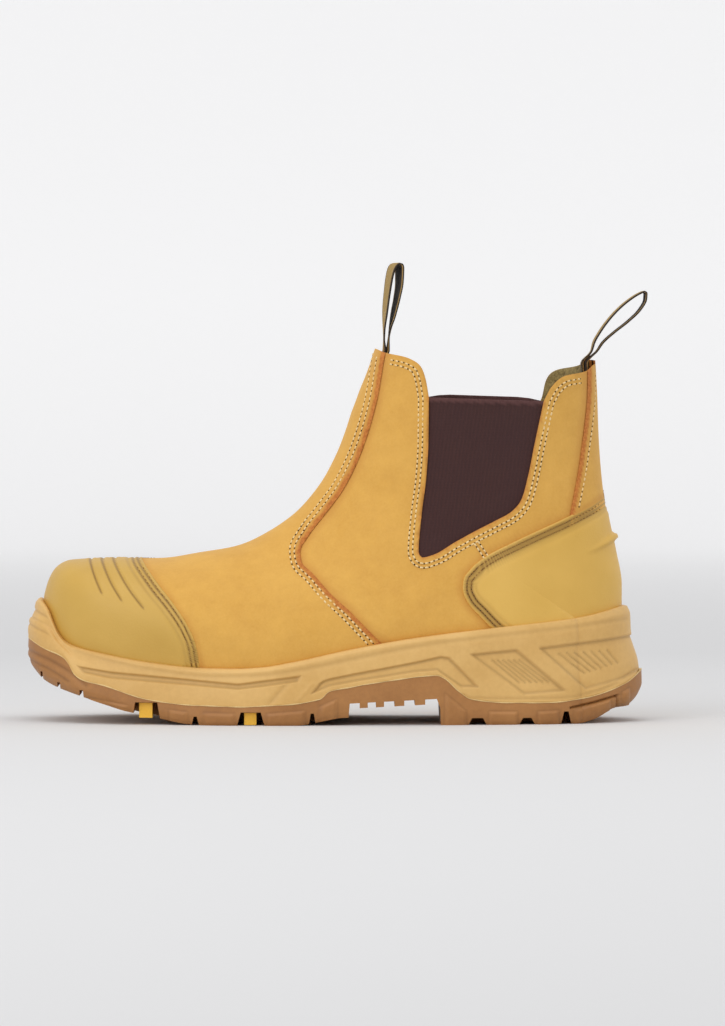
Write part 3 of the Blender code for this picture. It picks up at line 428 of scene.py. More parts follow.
def surface_tree(grid):
    """A grid of points as a surface that rays can hit."""
    index = np.arange(grid[..., 0].size).reshape(grid.shape[:2])
    return BVHTree.FromPolygons(grid.reshape(-1, 3).tolist(), grid_quads(index).tolist())


def tidy_mesh(obj, distance=1e-6):
    bm = bmesh.new()
    bm.from_mesh(obj.data)
    bmesh.ops.remove_doubles(bm, verts=bm.verts, dist=distance)
    bmesh.ops.dissolve_degenerate(bm, edges=bm.edges, dist=1e-7)
    bmesh.ops.recalc_face_normals(bm, faces=bm.faces)
    bm.to_mesh(obj.data)
    bm.free()


def prism(outlines, material, y_low=-REACH, y_high=REACH):
    """Side view outlines drawn out along Y, as one cutter."""
    bm = bmesh.new()
    for outline in outlines:
        face = bm.faces.new([bm.verts.new((x, y_low, z)) for x, z in outline])
        drawn = bmesh.ops.extrude_face_region(bm, geom=[face])["geom"]
        corners = [item for item in drawn if isinstance(item, bmesh.types.BMVert)]
        bmesh.ops.translate(bm, verts=corners, vec=(0, y_high - y_low, 0))
    bmesh.ops.recalc_face_normals(bm, faces=bm.faces)
    mesh = bpy.data.meshes.new("cutter")
    bm.to_mesh(mesh)
    bm.free()
    mesh.materials.append(material)
    return add_object("cutter", mesh)


def cut(obj, cutter, operation, crossing=False):
    """Applies a Boolean with the cutter and removes it. `crossing` is for a shell that
    touches or crosses itself somewhere."""
    step = obj.modifiers.new("cut", "BOOLEAN")
    step.operation, step.solver, step.object = operation, "EXACT", cutter
    step.material_mode, step.use_self = "TRANSFER", crossing
    bpy.context.view_layer.update()
    graph = bpy.context.evaluated_depsgraph_get()
    mesh = bpy.data.meshes.new_from_object(obj.evaluated_get(graph))
    obj.modifiers.clear()
    obj.data = mesh
    bpy.data.objects.remove(cutter)


def places_of(obj):
    """The points of an object's mesh as an array."""
    numbers = np.empty(len(obj.data.vertices) * 3)
    obj.data.vertices.foreach_get("co", numbers)
    return numbers.reshape(-1, 3)


def paint(obj, name, values):
    """Keeps one number per point for the materials to read."""
    layer = obj.data.attributes.new(name, "FLOAT", "POINT")
    layer.data.foreach_set("value", np.asarray(values, np.float32))


def fan_rows(first, last, count):
    """Rows of a mesh, closer together where the heel closes."""
    share = np.linspace(0, 1, 400)
    foot = HEEL_ROW * (1 - (1 - share) ** 1.5)
    every = np.r_[foot, np.linspace(HEEL_ROW, TOP_ROW, 200)[1:]]
    every = every[(every >= first) & (every <= last)]
    rows = np.interp(np.linspace(0, 1, count), np.linspace(0, 1, len(every)), every)
    rows[0], rows[-1] = first, last
    if first < HEEL_ROW < last:
        rows[np.argmin(np.abs(rows - HEEL_ROW))] = HEEL_ROW
    return rows


def shell(name, outer, inner, rows, columns, materials, strips=((-1, 1),)):
    """A wall between two offsets of the upper's surface, with face materials outside,
    inside and edge. `outer` and `inner` are numbers or functions of the plain surface."""
    points, faces, kinds = [], [], []
    start = 0
    for first, last in strips:
        turns = np.linspace(first, last, columns)
        row, turn = np.meshgrid(rows, turns, indexing="ij")
        base, normal = base_point(row, turn), skin_normal(row, turn)
        count = row.size
        for offset in (outer, inner):
            value = offset(base) if callable(offset) else np.full(row.shape, offset)
            grid = base + normal * value[..., None]
            seam = (row >= HEEL_ROW) & (np.abs(turn) == 1)
            grid[..., 1] = np.where(seam, base[..., 1], grid[..., 1])
            edge = (row == 0) | ((np.abs(turn) == 1) & (row < HEEL_ROW))
            grid[..., 2] = np.where(edge, last_bottom(grid[..., 0]), grid[..., 2])
            points.append(grid.reshape(-1, 3))
        index = np.arange(count).reshape(row.shape) + start
        edges = [index[0, :], index[-1, ::-1]]
        for column, at in ((0, first), (-1, last)):
            line = index[:, column] if column else index[::-1, column]
            if abs(at) == 1:
                line = line[np.isin(line, index[rows <= HEEL_ROW, column])]
            edges.append(line)
        strip_faces, strip_kinds = wall_faces(index, edges, count)
        faces.append(strip_faces)
        kinds.append(strip_kinds)
        start += 2 * count
    obj = add_mesh(name, np.concatenate(points), np.concatenate(faces), materials,
                   np.concatenate(kinds))
    tidy_mesh(obj)
    return obj


# Materials
def new_material(name, colour, roughness, **constants):
    """A material with its shader's constant numbers set on the sockets themselves."""
    material = bpy.data.materials.new(name)
    material.use_nodes = True
    tree = material.node_tree
    shader = tree.nodes["Principled BSDF"]
    shader.inputs["Base Color"].default_value = (*colour, 1.0)
    shader.inputs["Roughness"].default_value = roughness
    for socket, value in constants.items():
        shader.inputs[socket.replace("_", " ")].default_value = value
    material.diffuse_color = (*colour, 1.0)
    return material, tree, shader


def object_place(tree, stretch=(1, 1, 1), turn=(0, 0, 0)):
    coordinates = tree.nodes.new("ShaderNodeTexCoord")
    mapping = tree.nodes.new("ShaderNodeMapping")
    mapping.inputs["Scale"].default_value = stretch
    mapping.inputs["Rotation"].default_value = turn
    tree.links.new(coordinates.outputs["Object"], mapping.inputs["Vector"])
    return mapping.outputs["Vector"]


def noise(tree, place, scale, detail=3.0, rough=0.55, warp=0.0):
    node = tree.nodes.new("ShaderNodeTexNoise")
    node.inputs["Scale"].default_value = scale
    node.inputs["Detail"].default_value = detail
    node.inputs["Roughness"].default_value = rough
    node.inputs["Distortion"].default_value = warp
    tree.links.new(place, node.inputs["Vector"])
    return node.outputs["Fac"]


def spread(tree, value, low, high, to_low=0.0, to_high=1.0):
    """The value taken from low..high to to_low..to_high, clamped."""
    node = tree.nodes.new("ShaderNodeMapRange")
    node.inputs["From Min"].default_value = low
    node.inputs["From Max"].default_value = high
    node.inputs["To Min"].default_value = to_low
    node.inputs["To Max"].default_value = to_high
    tree.links.new(value, node.inputs["Value"])
    return node.outputs["Result"]


def reckon(tree, operation, first, second):
    node = tree.nodes.new("ShaderNodeMath")
    node.operation = operation
    for socket, value in zip(node.inputs, (first, second)):
        if isinstance(value, (int, float)):
            socket.default_value = value
        else:
            tree.links.new(value, socket)
    return node.outputs["Value"]


def blend_colour(tree, share, first, second):
    """Between two colours, or a colour and a socket, by a share."""
    node = tree.nodes.new("ShaderNodeMix")
    node.data_type = "RGBA"
    for socket, value in ((node.inputs[6], first), (node.inputs[7], second)):
        if isinstance(value, tuple):
            socket.default_value = (*value, 1.0)
        else:
            tree.links.new(value, socket)
    if isinstance(share, (int, float)):
        node.inputs[0].default_value = share
    else:
        tree.links.new(share, node.inputs[0])
    return node.outputs[2]


def painted(tree, name):
    node = tree.nodes.new("ShaderNodeAttribute")
    node.attribute_name = name
    return node.outputs["Fac"]


def bump(tree, shader, height, distance, strength=1.0):
    node = tree.nodes.new("ShaderNodeBump")
    node.inputs["Strength"].default_value = strength
    node.inputs["Distance"].default_value = distance
    tree.links.new(height, node.inputs["Height"])
    earlier = shader.inputs["Normal"].links
    if earlier:
        tree.links.new(earlier[0].from_socket, node.inputs["Normal"])
    tree.links.new(node.outputs["Normal"], shader.inputs["Normal"])


def linear(red, green, blue):
    """A display colour from 0 to 255 as the shader's numbers."""
    return tuple((c / 255 / 12.92) if c <= 10 else ((c / 255 + 0.055) / 1.055) ** 2.4
                 for c in (red, green, blue))


def nubuck():
    """Napped leather: cloudy colour, a fine nap, darker and redder next to seams."""
    material, tree, shader = new_material("nubuck_wheat", linear(216, 163, 80), 0.9,
                                          Sheen_Weight=0.18, Sheen_Roughness=0.45,
                                          Sheen_Tint=(1.0, 0.86, 0.6, 1.0))
    place = object_place(tree)
    cloud = noise(tree, place, 26, 4, 0.6, 0.4)
    mottle = noise(tree, place, 130, 5, 0.65)
    nap = noise(tree, place, 900, 4, 0.7)
    brushed = noise(tree, object_place(tree, (1, 1, 0.35), (0, 0.5, 0)), 420, 3, 0.6)
    mixed = reckon(tree, "ADD", reckon(tree, "MULTIPLY", cloud, 0.55),
                   reckon(tree, "MULTIPLY", mottle, 0.45))
    colour = blend_colour(tree, spread(tree, mixed, 0.36, 0.64), linear(211, 157, 68),
                          linear(224, 172, 82))
    speck = spread(tree, nap, 0.35, 0.65)
    colour = blend_colour(tree, reckon(tree, "MULTIPLY", speck, 0.16), colour,
                          linear(238, 194, 108))
    seam = spread(tree, painted(tree, "seam"), 0.0, 1.0)
    colour = blend_colour(tree, reckon(tree, "MULTIPLY", seam, 0.5), colour,
                          linear(186, 118, 46))
    raw = blend_colour(tree, speck, linear(176, 98, 36), linear(206, 132, 58))
    colour = blend_colour(tree, painted(tree, "raw"), colour, raw)
    tree.links.new(colour, shader.inputs["Base Color"])
    tree.links.new(spread(tree, mottle, 0.3, 0.7, 0.82, 0.96), shader.inputs["Roughness"])
    bump(tree, shader, cloud, 0.0006, 0.35)
    bump(tree, shader, brushed, 0.00025, 0.5)
    bump(tree, shader, nap, 0.00012, 0.6)
    return material


def raw_edge():
    """The cut edge of the leather, showing its orange-brown core."""
    material, tree, shader = new_material("leather_cut_edge", linear(190, 114, 46), 0.9)
    place = object_place(tree)
    fibre = noise(tree, place, 700, 4, 0.7)
    colour = blend_colour(tree, spread(tree, fibre, 0.3, 0.7), linear(164, 90, 32),
                          linear(216, 146, 72))
    tree.links.new(colour, shader.inputs["Base Color"])
    bump(tree, shader, fibre, 0.0002, 0.7)
    return material


def coated(name, dark, light):
    """A moulded, coated overlay: even satin colour with a fine pebble grain, and painted shade in
    its grooves.
    """
    material, tree, shader = new_material(name, light, 0.5, Coat_Weight=0.06,
                                          Coat_Roughness=0.45)
    place = object_place(tree)
    cloud = noise(tree, place, 22, 3, 0.5)
    grain = noise(tree, place, 1300, 2, 0.5)
    pebble = tree.nodes.new("ShaderNodeTexVoronoi")
    pebble.inputs["Scale"].default_value = 950
    tree.links.new(place, pebble.inputs["Vector"])
    colour = blend_colour(tree, spread(tree, cloud, 0.3, 0.7), dark, light)
    # painted shade: the grooves are darkened where shade falls in them
    groove = spread(tree, painted(tree, "groove"), 0.0, 1.0)
    colour = blend_colour(tree, reckon(tree, "MULTIPLY", groove, 0.75), colour,
                          linear(120, 82, 24))
    tree.links.new(colour, shader.inputs["Base Color"])
    tree.links.new(spread(tree, grain, 0.3, 0.7, 0.44, 0.58), shader.inputs["Roughness"])
    bump(tree, shader, pebble.outputs["Distance"], 0.00012, 0.4)
    bump(tree, shader, grain, 0.00008, 0.4)
    return material


def moulded(name, dark, light, roughness, grain_size=1500.0, depth=0.00008):
    """Moulded foam or rubber: cloudy colour, painted shade in the recesses, fine grain."""
    material, tree, shader = new_material(name, light, roughness)
    place = object_place(tree)
    cloud = noise(tree, place, 30, 4, 0.6)
    fleck = noise(tree, place, 420, 3, 0.6)
    grain = noise(tree, place, grain_size, 3, 0.6)
    mixed = reckon(tree, "ADD", reckon(tree, "MULTIPLY", cloud, 0.7),
                   reckon(tree, "MULTIPLY", fleck, 0.3))
    colour = blend_colour(tree, spread(tree, mixed, 0.36, 0.64), dark, light)
    # painted shade: the recesses are darkened where shade falls in them
    recess_shade = spread(tree, painted(tree, "recess_shade"), 0.0, 1.0)
    shade = tuple(c * 0.62 for c in dark)
    colour = blend_colour(tree, reckon(tree, "MULTIPLY", recess_shade, 0.6), colour, shade)
    tree.links.new(colour, shader.inputs["Base Color"])
    tree.links.new(spread(tree, fleck, 0.3, 0.7, roughness - 0.06, roughness + 0.08),
                   shader.inputs["Roughness"])
    bump(tree, shader, grain, depth, 0.5)
    bump(tree, shader, fleck, 0.0002, 0.15)
    return material


def knitted_elastic():
    """Elastic with fine upright ribs crossed by its weave."""
    material, tree, shader = new_material("elastic_ribbed", linear(66, 34, 38), 0.85,
                                          Sheen_Weight=0.12, Sheen_Roughness=0.5,
                                          Sheen_Tint=(0.8, 0.6, 0.6, 1.0))
    place = object_place(tree)
    wobble = noise(tree, place, 60, 3)
    rib = tree.nodes.new("ShaderNodeTexWave")
    rib.wave_type, rib.bands_direction = "BANDS", "X"
    rib.inputs["Scale"].default_value = 470
    rib.inputs["Distortion"].default_value = 0.8
    rib.inputs["Detail Scale"].default_value = 3.0
    tree.links.new(object_place(tree, (1, 1, 1), (0, 0.05, 0)), rib.inputs["Vector"])
    weft = tree.nodes.new("ShaderNodeTexWave")
    weft.wave_type, weft.bands_direction = "BANDS", "Z"
    weft.inputs["Scale"].default_value = 420
    weft.inputs["Distortion"].default_value = 0.6
    tree.links.new(object_place(tree), weft.inputs["Vector"])
    woven = reckon(tree, "MULTIPLY", rib.outputs["Fac"], reckon(
        tree, "ADD", 0.65, reckon(tree, "MULTIPLY", weft.outputs["Fac"], 0.35)))
    fibre = noise(tree, place, 1500, 3, 0.7)
    colour = blend_colour(tree, woven, linear(50, 24, 23), linear(84, 46, 42))
    colour = blend_colour(tree, spread(tree, wobble, 0.35, 0.65, 0.0, 0.25), colour,
                          linear(58, 28, 32))
    lint = spread(tree, fibre, 0.68, 0.8, 0.0, 0.5)
    colour = blend_colour(tree, lint, colour, linear(150, 110, 104))
    hem = spread(tree, painted(tree, "hem"), 0.0, 1.0)
    colour = blend_colour(tree, reckon(tree, "MULTIPLY", hem, 0.55), colour,
                          linear(112, 72, 70))
    tree.links.new(colour, shader.inputs["Base Color"])
    bump(tree, shader, woven, 0.00035, 0.8)
    bump(tree, shader, fibre, 0.0001, 0.5)
    return material


def felted(name, dark, light):
    """Lining felt with short fibres."""
    material, tree, shader = new_material(name, light, 0.95, Sheen_Weight=0.15,
                                          Sheen_Roughness=0.6)
    place = object_place(tree)
    tuft = noise(tree, place, 260, 6, 0.75, 0.6)
    fibre = noise(tree, place, 1100, 4, 0.75)
    colour = blend_colour(tree, spread(tree, tuft, 0.35, 0.65), dark, light)
    colour = blend_colour(tree, spread(tree, fibre, 0.55, 0.75, 0.0, 0.6), colour,
                          tuple(min(c * 1.9, 1.0) for c in light))
    tree.links.new(colour, shader.inputs["Base Color"])
    bump(tree, shader, tuft, 0.0012, 0.7)
    bump(tree, shader, fibre, 0.0004, 0.8)
    return material


def webbing(name, dark, light, edge):
    """Woven tape. The attribute `across` runs over its width, `along` over its length."""
    material, tree, shader = new_material(name, light, 0.85, Sheen_Weight=0.1)
    across, along = painted(tree, "across"), painted(tree, "along")
    pick = reckon(tree, "SINE", reckon(tree, "MULTIPLY", along, 2 * math.pi / 1.1), 0.0)
    warp = reckon(tree, "SINE", reckon(tree, "MULTIPLY", across, 2 * math.pi / 1.3), 0.0)
    cell = spread(tree, reckon(tree, "MULTIPLY", pick, warp), -1.0, 1.0)
    colour = blend_colour(tree, cell, dark, light)
    fibre = noise(tree, object_place(tree), 1300, 3, 0.7)
    colour = blend_colour(tree, spread(tree, fibre, 0.5, 0.75, 0.0, 0.4), colour,
                          tuple(min(c * 1.7, 1.0) for c in light))
    border = spread(tree, reckon(tree, "ABSOLUTE", across, 0.0), 6.2, 6.8)
    colour = blend_colour(tree, border, colour, edge)
    tree.links.new(colour, shader.inputs["Base Color"])
    bump(tree, shader, cell, 0.00035, 0.8)
    bump(tree, shader, fibre, 0.0001, 0.5)
    return material


def thread():
    material, tree, shader = new_material("thread_cream", linear(244, 214, 152), 0.7,
                                          Sheen_Weight=0.2)
    place = object_place(tree)
    twist = noise(tree, place, 1600, 2, 0.6)
    colour = blend_colour(tree, spread(tree, twist, 0.3, 0.7), linear(222, 182, 112),
                          linear(252, 230, 178))
    tree.links.new(colour, shader.inputs["Base Color"])
    bump(tree, shader, twist, 0.00015, 0.7)
    return material


def plain(name, colour, roughness, grain=900.0, variety=0.8):
    """A small piece's material: one colour with slight variation and a fine grain."""
    material, tree, shader = new_material(name, colour, roughness)
    place = object_place(tree)
    fleck = noise(tree, place, grain, 3, 0.6)
    tint = blend_colour(tree, spread(tree, fleck, 0.3, 0.7), tuple(c * variety for c in colour),
                        colour)
    tree.links.new(tint, shader.inputs["Base Color"])
    bump(tree, shader, fleck, 0.0001, 0.4)
    return material


# Shapes laid into the upper's surface
CAP_PATH = smooth_path(on_upper(CAP_EDGE), 60)
VAMP_PATH = smooth_path(on_upper(VAMP_EDGE), 120)
COUNTER_PATH = smooth_path(on_upper(COUNTER_EDGE), 120)
STRIP_PATH = smooth_path(on_upper(STRIP_EDGE), 60)
GORE_PATH = smooth_path(on_upper(GORE_EDGE), 120)
FRONT_COLLAR_PATH = smooth_path(on_upper(COLLAR_FRONT), 40)
REAR_COLLAR_PATH = smooth_path(on_upper(COLLAR_REAR), 40)

# How far the overlays and the vamp go down behind the sole's rim, and where their edges end
TUCK = 2.6 * MM
TUCK_END = -2.0 * MM
# How high a lapped panel stands over the quarters at its cut edge
CUT_EDGE = 0.35 * MM

# Main creases and soft hollows of the leather: side view path in
# millimetres, half-width and height (negative is a hollow)
CREASES = [
    ([(-24, 99), (-15, 92), (-8, 82), (-6, 72)], 5.0, -0.55),
    ([(-36, 90), (-30, 84), (-27, 76), (-29, 66)], 6.0, -0.45),
    ([(-46, 86), (-43, 78), (-45, 68)], 7.0, 0.35),
    ([(2, 96), (12, 84), (20, 74), (30, 66)], 6.0, -0.45),
    ([(14, 104), (24, 92), (34, 84)], 6.5, 0.40),
    ([(8, 118), (20, 112), (34, 110)], 5.5, -0.35),
    ([(28, 62), (38, 74), (44, 80)], 5.0, -0.35),
    ([(34, 56), (46, 66), (58, 74)], 5.5, 0.35),
    ([(104, 118), (110, 128), (118, 134)], 6.0, -0.35),
    ([(24, 140), (34, 134), (42, 132)], 7.0, 0.30)]

# Moulded grooves of the toe cap: side view path in millimetres
CAP_GROOVES = [[(-122.6, 81), (-121.2, 77.6), (-118.3, 70.6), (-114.9, 63.4)],
               [(-116.8, 81), (-114.6, 76.6), (-110.4, 68.4), (-105.0, 60.0)],
               [(-111.0, 81), (-107.6, 75.0), (-101.4, 65.4), (-94.2, 56.4)]]


def flat(points):
    return points[..., [0, 2]].reshape(-1, 2)


def path_length(path):
    return np.linalg.norm(np.diff(path, axis=0), axis=1).sum()


def leather_height(points):
    """Soft creases and a faint unevenness of the hide."""
    places = flat(points)
    height = np.zeros(len(places))
    for line, wide, high in CREASES:
        path, wide, high = smooth_path(side_view(line), 12), wide * MM, high * MM
        gap, along = near_path(path, places)
        length = path_length(path)
        fade = smooth_step(0, 0.3 * length, along) * smooth_step(0, 0.3 * length,
                                                                 length - along)
        fade = np.where(np.abs(gap) < 3 * wide, fade, 0)
        height += high * np.exp(-(gap / wide) ** 2) * fade
    x, y, z = points.reshape(-1, 3).T / MM
    height += 0.00012 * np.sin(x * 0.11 + 1.3 + y * 0.05) * np.sin(z * 0.13 + y * 0.07)
    return height.reshape(points.shape[:-1])


def above_rim(path, lift):
    """The part of an edge path that lies above the sole's rim, raised by `lift`."""
    return path[path[:, 1] > rim(path[:, 0]) + lift]


def low_run(start, end, drop):
    """A line `drop` below the sole's rim between two places, for an edge that it hides."""
    x = np.linspace(start, end, 60)
    return np.column_stack([x, rim(x) - drop])


def seam_shade(places, paths, reach):
    """1 on a seam, fading to 0 at `reach` from it."""
    value = np.zeros(len(places))
    for path in paths:
        gap = np.abs(near_path(path, places)[0])
        value = np.maximum(value, 1 - smooth_step(0, reach, gap))
    return value


# How far the inner side's rear collar stands forward and up from the outer side's
INNER_COLLAR = (-2.5 * MM, 3.0 * MM)


def topline(side):
    """Everything above the collar on one side, with its gore opening."""
    rear = REAR_COLLAR_PATH
    if side > 0:
        share = np.linspace(0, 1, len(rear))
        fade = smooth_step(0, 0.3, share) * (1 - smooth_step(0.62, 0.95, share))
        rear = rear + fade[:, None] * np.array(INNER_COLLAR)
    return np.concatenate([on_upper([(0.40, 1.60), (0.40, 1.15)]), FRONT_COLLAR_PATH,
                           GORE_PATH[1:], rear[1:], on_upper([(1.10, 0.96), (1.10, 1.60)])])


def cut_collar(obj, material):
    cut(obj, prism([topline(-1)], material, -REACH, 0.5 * MM), "DIFFERENCE")
    cut(obj, prism([topline(1)], material, 0.0, REACH), "DIFFERENCE")


def dress_upper(finish):
    """The quarters with their lining, the vamp and the back strip."""
    edge = finish["edge"]
    leather = [finish["leather"], finish["lining"], edge]
    quarters = shell("quarters", leather_height, -WALL, fan_rows(0, TOP_ROW, 190), 181, leather)
    cut_collar(quarters, edge)
    places = flat(places_of(quarters))
    paint(quarters, "seam", 0.8 * seam_shade(places, [VAMP_PATH, COUNTER_PATH, STRIP_PATH],
                                              4.5 * MM)
          + 0.5 * seam_shade(places, [GORE_PATH, FRONT_COLLAR_PATH, REAR_COLLAR_PATH], 2 * MM))
    gap = np.abs(near_path(GORE_PATH, places)[0])
    paint(quarters, "raw", 0.6 * (1 - smooth_step(0.3 * MM, 0.7 * MM, gap)))

    def lapped_edge(path, side):
        """Height of a panel laid over the quarters, from its low cut edge up to its face."""
        def height(points):
            gap = near_path(path, flat(points))[0].reshape(points.shape[:-1])
            rise = smooth_step(-0.2 * MM, 1.9 * MM, side * gap)
            return leather_height(points) + CUT_EDGE + (LAP - CUT_EDGE) * rise

        return height

    vamp = shell("vamp", lapped_edge(VAMP_PATH, -1), -UNDERLAP, fan_rows(2.5, TOP_ROW, 240),
                 261, leather)
    cap = above_rim(beside(CAP_PATH, -0.0006), TUCK_END)
    seam = above_rim(VAMP_PATH, TUCK_END)[::-1]
    outline = np.concatenate([cap, low_run(cap[-1, 0], seam[0, 0], TUCK), seam,
                              on_upper([(0.50, 1.20), (0.30, 0.85), (0.14, 0.55)])])
    cut(vamp, prism([outline], edge), "INTERSECT")
    cut_collar(vamp, edge)
    places = flat(places_of(vamp))
    gap = np.abs(near_path(VAMP_PATH, places)[0])
    paint(vamp, "raw", 1 - smooth_step(1.9 * MM, 2.3 * MM, gap))
    paint(vamp, "seam", np.maximum(0.7 * (1 - smooth_step(1.5 * MM, 6.5 * MM, gap)),
                                   0.6 * seam_shade(places, [CAP_PATH], 3 * MM)))

    strip = shell("back_strip", lapped_edge(STRIP_PATH, 1), -UNDERLAP,
                  fan_rows(HEEL_ROW, TOP_ROW, 220), 56, leather, ((-1, -0.6), (0.6, 1)))
    outline = np.concatenate([STRIP_PATH, on_upper([(0.905, 0.40), (1.10, 0.40),
                                                    (1.10, 1.10)])])
    cut(strip, prism([outline], edge), "INTERSECT")
    cut_collar(strip, edge)
    places = flat(places_of(strip))
    gap = np.abs(near_path(STRIP_PATH, places)[0])
    paint(strip, "raw", 1 - smooth_step(1.9 * MM, 2.3 * MM, gap))
    paint(strip, "seam", np.maximum(0.6 * (1 - smooth_step(1.5 * MM, 5 * MM, gap)),
                                    0.7 * seam_shade(places, [COUNTER_PATH], 3 * MM)))
    for piece in (quarters, vamp, strip):
        settle(piece, "upper")


# Distances of the overlays' two sewn grooves from their edge, in millimetres
SEWN_GROOVES = (2.0, 4.2)


def overlay_edge(gap, half=0.42):
    """Height of a moulded overlay at a distance inside its edge: rolled edge, two sewn
    grooves with a bead between them, then a soft step up to the face. `half` is the half-width
    of a groove in millimetres."""
    d = gap / MM
    height = 0.35 + (OVERLAY / MM - 0.35) * np.sqrt(np.clip(smooth_step(-0.1, 1.3, d), 0, 1))
    for centre in SEWN_GROOVES:
        height -= 0.75 * np.exp(-((d - centre) / half) ** 2)
    height -= 0.30 * np.exp(-((d - 6.6) / 0.8) ** 2)
    height += 0.20 * smooth_step(6.8, 8.2, d)
    return height * MM


def groove_shade(gap, half=0.5):
    """1 in the sewn grooves of an overlay, fading to 0 beside them."""
    d = gap / MM
    shade = sum(np.exp(-((d - centre) / half) ** 2) for centre in SEWN_GROOVES)
    return np.clip(shade + 0.25 * np.exp(-((d - 6.6) / 0.7) ** 2), 0, 1)


def cap_relief(places):
    """Groove depth of the toe cap, and how deep in a groove each place lies, kept as painted
    shade.
    """
    height, shade = np.zeros(len(places)), np.zeros(len(places))
    for points in CAP_GROOVES:
        path = smooth_path(side_view(points), 16)
        gap, along = near_path(path, places)
        gap = gap / MM
        fade = smooth_step(0, 1.5 * MM, path_length(path) - along + 0.5 * MM)
        fade = np.where(np.abs(gap) < 5, fade, 0)
        trough = np.exp(-(gap / 0.42) ** 2) * fade
        height += (-0.8 * trough + 0.15 * np.exp(-((np.abs(gap) - 1.5) / 0.8) ** 2) * fade) * MM
        shade = np.maximum(shade, trough)
    return height, shade


def dress_cap(finish):
    def face(points):
        places = flat(points)
        gap = -near_path(CAP_PATH, places)[0]
        height = overlay_edge(gap) + cap_relief(places)[0]
        return height.reshape(points.shape[:-1])

    cap = shell("toe_cap_moulded", face, -OVERLAY_SINK, fan_rows(0, 10.2, 170), 301,
                [finish["overlay"]] * 3)
    edge = above_rim(CAP_PATH, TUCK_END)
    outline = np.concatenate([edge, low_run(edge[-1, 0], x_at(-0.08), TUCK),
                              on_upper([(-0.08, 0.60), (0.10, 0.60)])])
    cut(cap, prism([outline], finish["overlay"]), "INTERSECT")
    places = flat(places_of(cap))
    gap = -near_path(CAP_PATH, places)[0]
    # painted shade for the sewn and moulded grooves
    paint(cap, "groove", np.maximum(groove_shade(gap), cap_relief(places)[1]))
    settle(cap, "toe_cap")


# Kick ledge of the counter: its ridge line, side view in millimetres
LEDGE_LINE = [(121.0, 82.6), (127.0, 85.4), (132.0, 88.4), (136.5, 91.0), (143.0, 93.4)]
# Half-width of the counter's sewn grooves in millimetres, wide enough for its mesh
COUNTER_GROOVE = 1.0


def ledge_height(places):
    path = smooth_path(side_view(LEDGE_LINE), 24)
    gap, along = near_path(path, places)
    t = np.clip(along / path_length(path), 0, 1)
    half = (0.5 + 2.1 * t ** 0.8) * MM
    d = gap / half
    # flat-topped above, undercut below
    profile = np.where(d > 0, 1 - smooth_step(0.35, 1.35, d), 1 - smooth_step(0.25, 0.95, -d))
    return profile * (0.4 + 2.3 * smooth_step(0.05, 0.85, t)) * MM * smooth_step(0, 0.12, t)


def dress_counter(finish):
    def face(points):
        places = flat(points)
        gap = near_path(COUNTER_PATH, places)[0]
        height = overlay_edge(gap, COUNTER_GROOVE) + ledge_height(places)
        return height.reshape(points.shape[:-1])

    counter = shell("heel_counter_moulded", face, -OVERLAY_SINK, fan_rows(10, 24.5, 300), 110,
                    [finish["counter"]] * 3, ((-1, -0.42), (0.42, 1)))
    edge = above_rim(COUNTER_PATH, TUCK_END)
    outline = np.concatenate([edge, low_run(edge[-1, 0], x_at(1.10), TUCK)])
    cut(counter, prism([outline], finish["counter"]), "INTERSECT", True)
    tidy_mesh(counter)
    places = flat(places_of(counter))
    gap = near_path(COUNTER_PATH, places)[0]
    # painted shade for the sewn grooves
    paint(counter, "groove", groove_shade(gap, COUNTER_GROOVE))
    settle(counter, "heel_counter")


# How far the inner gore's flat top edge stands up
INNER_GORE_CROWN = 1.5 * MM


def dress_gores(finish):
    top = GORE_PATH[[0, -1]]
    span = top[1] - top[0]

    def below_top(places):
        return ((places - top[0]) @ np.array([span[1], -span[0]])) / np.hypot(*span)

    def face(points):
        """Slightly hollow across, with a doubled hem at the top."""
        places = flat(points)
        across = (places[:, 0] - 0.0425) / 0.058
        hollow = -0.0006 * np.clip(4 * across * (1 - across), 0, 1)
        hem = 0.0004 * (1 - smooth_step(1.9 * MM, 2.4 * MM, below_top(places)))
        return (-GORE_SINK + hollow + hem).reshape(points.shape[:-1])

    for name, side in (("gore_lateral", -1), ("gore_medial", 1)):
        strips = ((-1, -0.2),) if side < 0 else ((0.2, 1),)
        gore = shell(name + "_elastic", face, -GORE_SINK - GORE_THICKNESS - 0.0008,
                     fan_rows(12, TOP_ROW - 0.5, 150), 130, [finish["elastic"]] * 3, strips)
        t = np.linspace(1, 0, 11)[1:-1, None]
        crown = top[0] + span * t
        if side > 0:
            crown[:, 1] += INNER_GORE_CROWN * np.minimum(1, 8 * t * (1 - t))[:, 0]
        outline = np.concatenate([GORE_PATH[:1], beside(GORE_PATH, -0.0009)[1:-1],
                                  GORE_PATH[-1:], crown])
        low, high = sorted((0.0, side * REACH))
        cut(gore, prism([outline], finish["elastic"], low, high), "INTERSECT")
        below = below_top(flat(places_of(gore)))
        paint(gore, "hem", 1 - smooth_step(1.7 * MM, 2.2 * MM, below))
        settle(gore, name)


# The sole
TOE_STEPS, SIDE_STEPS, HEEL_STEPS = 56, 240, 84


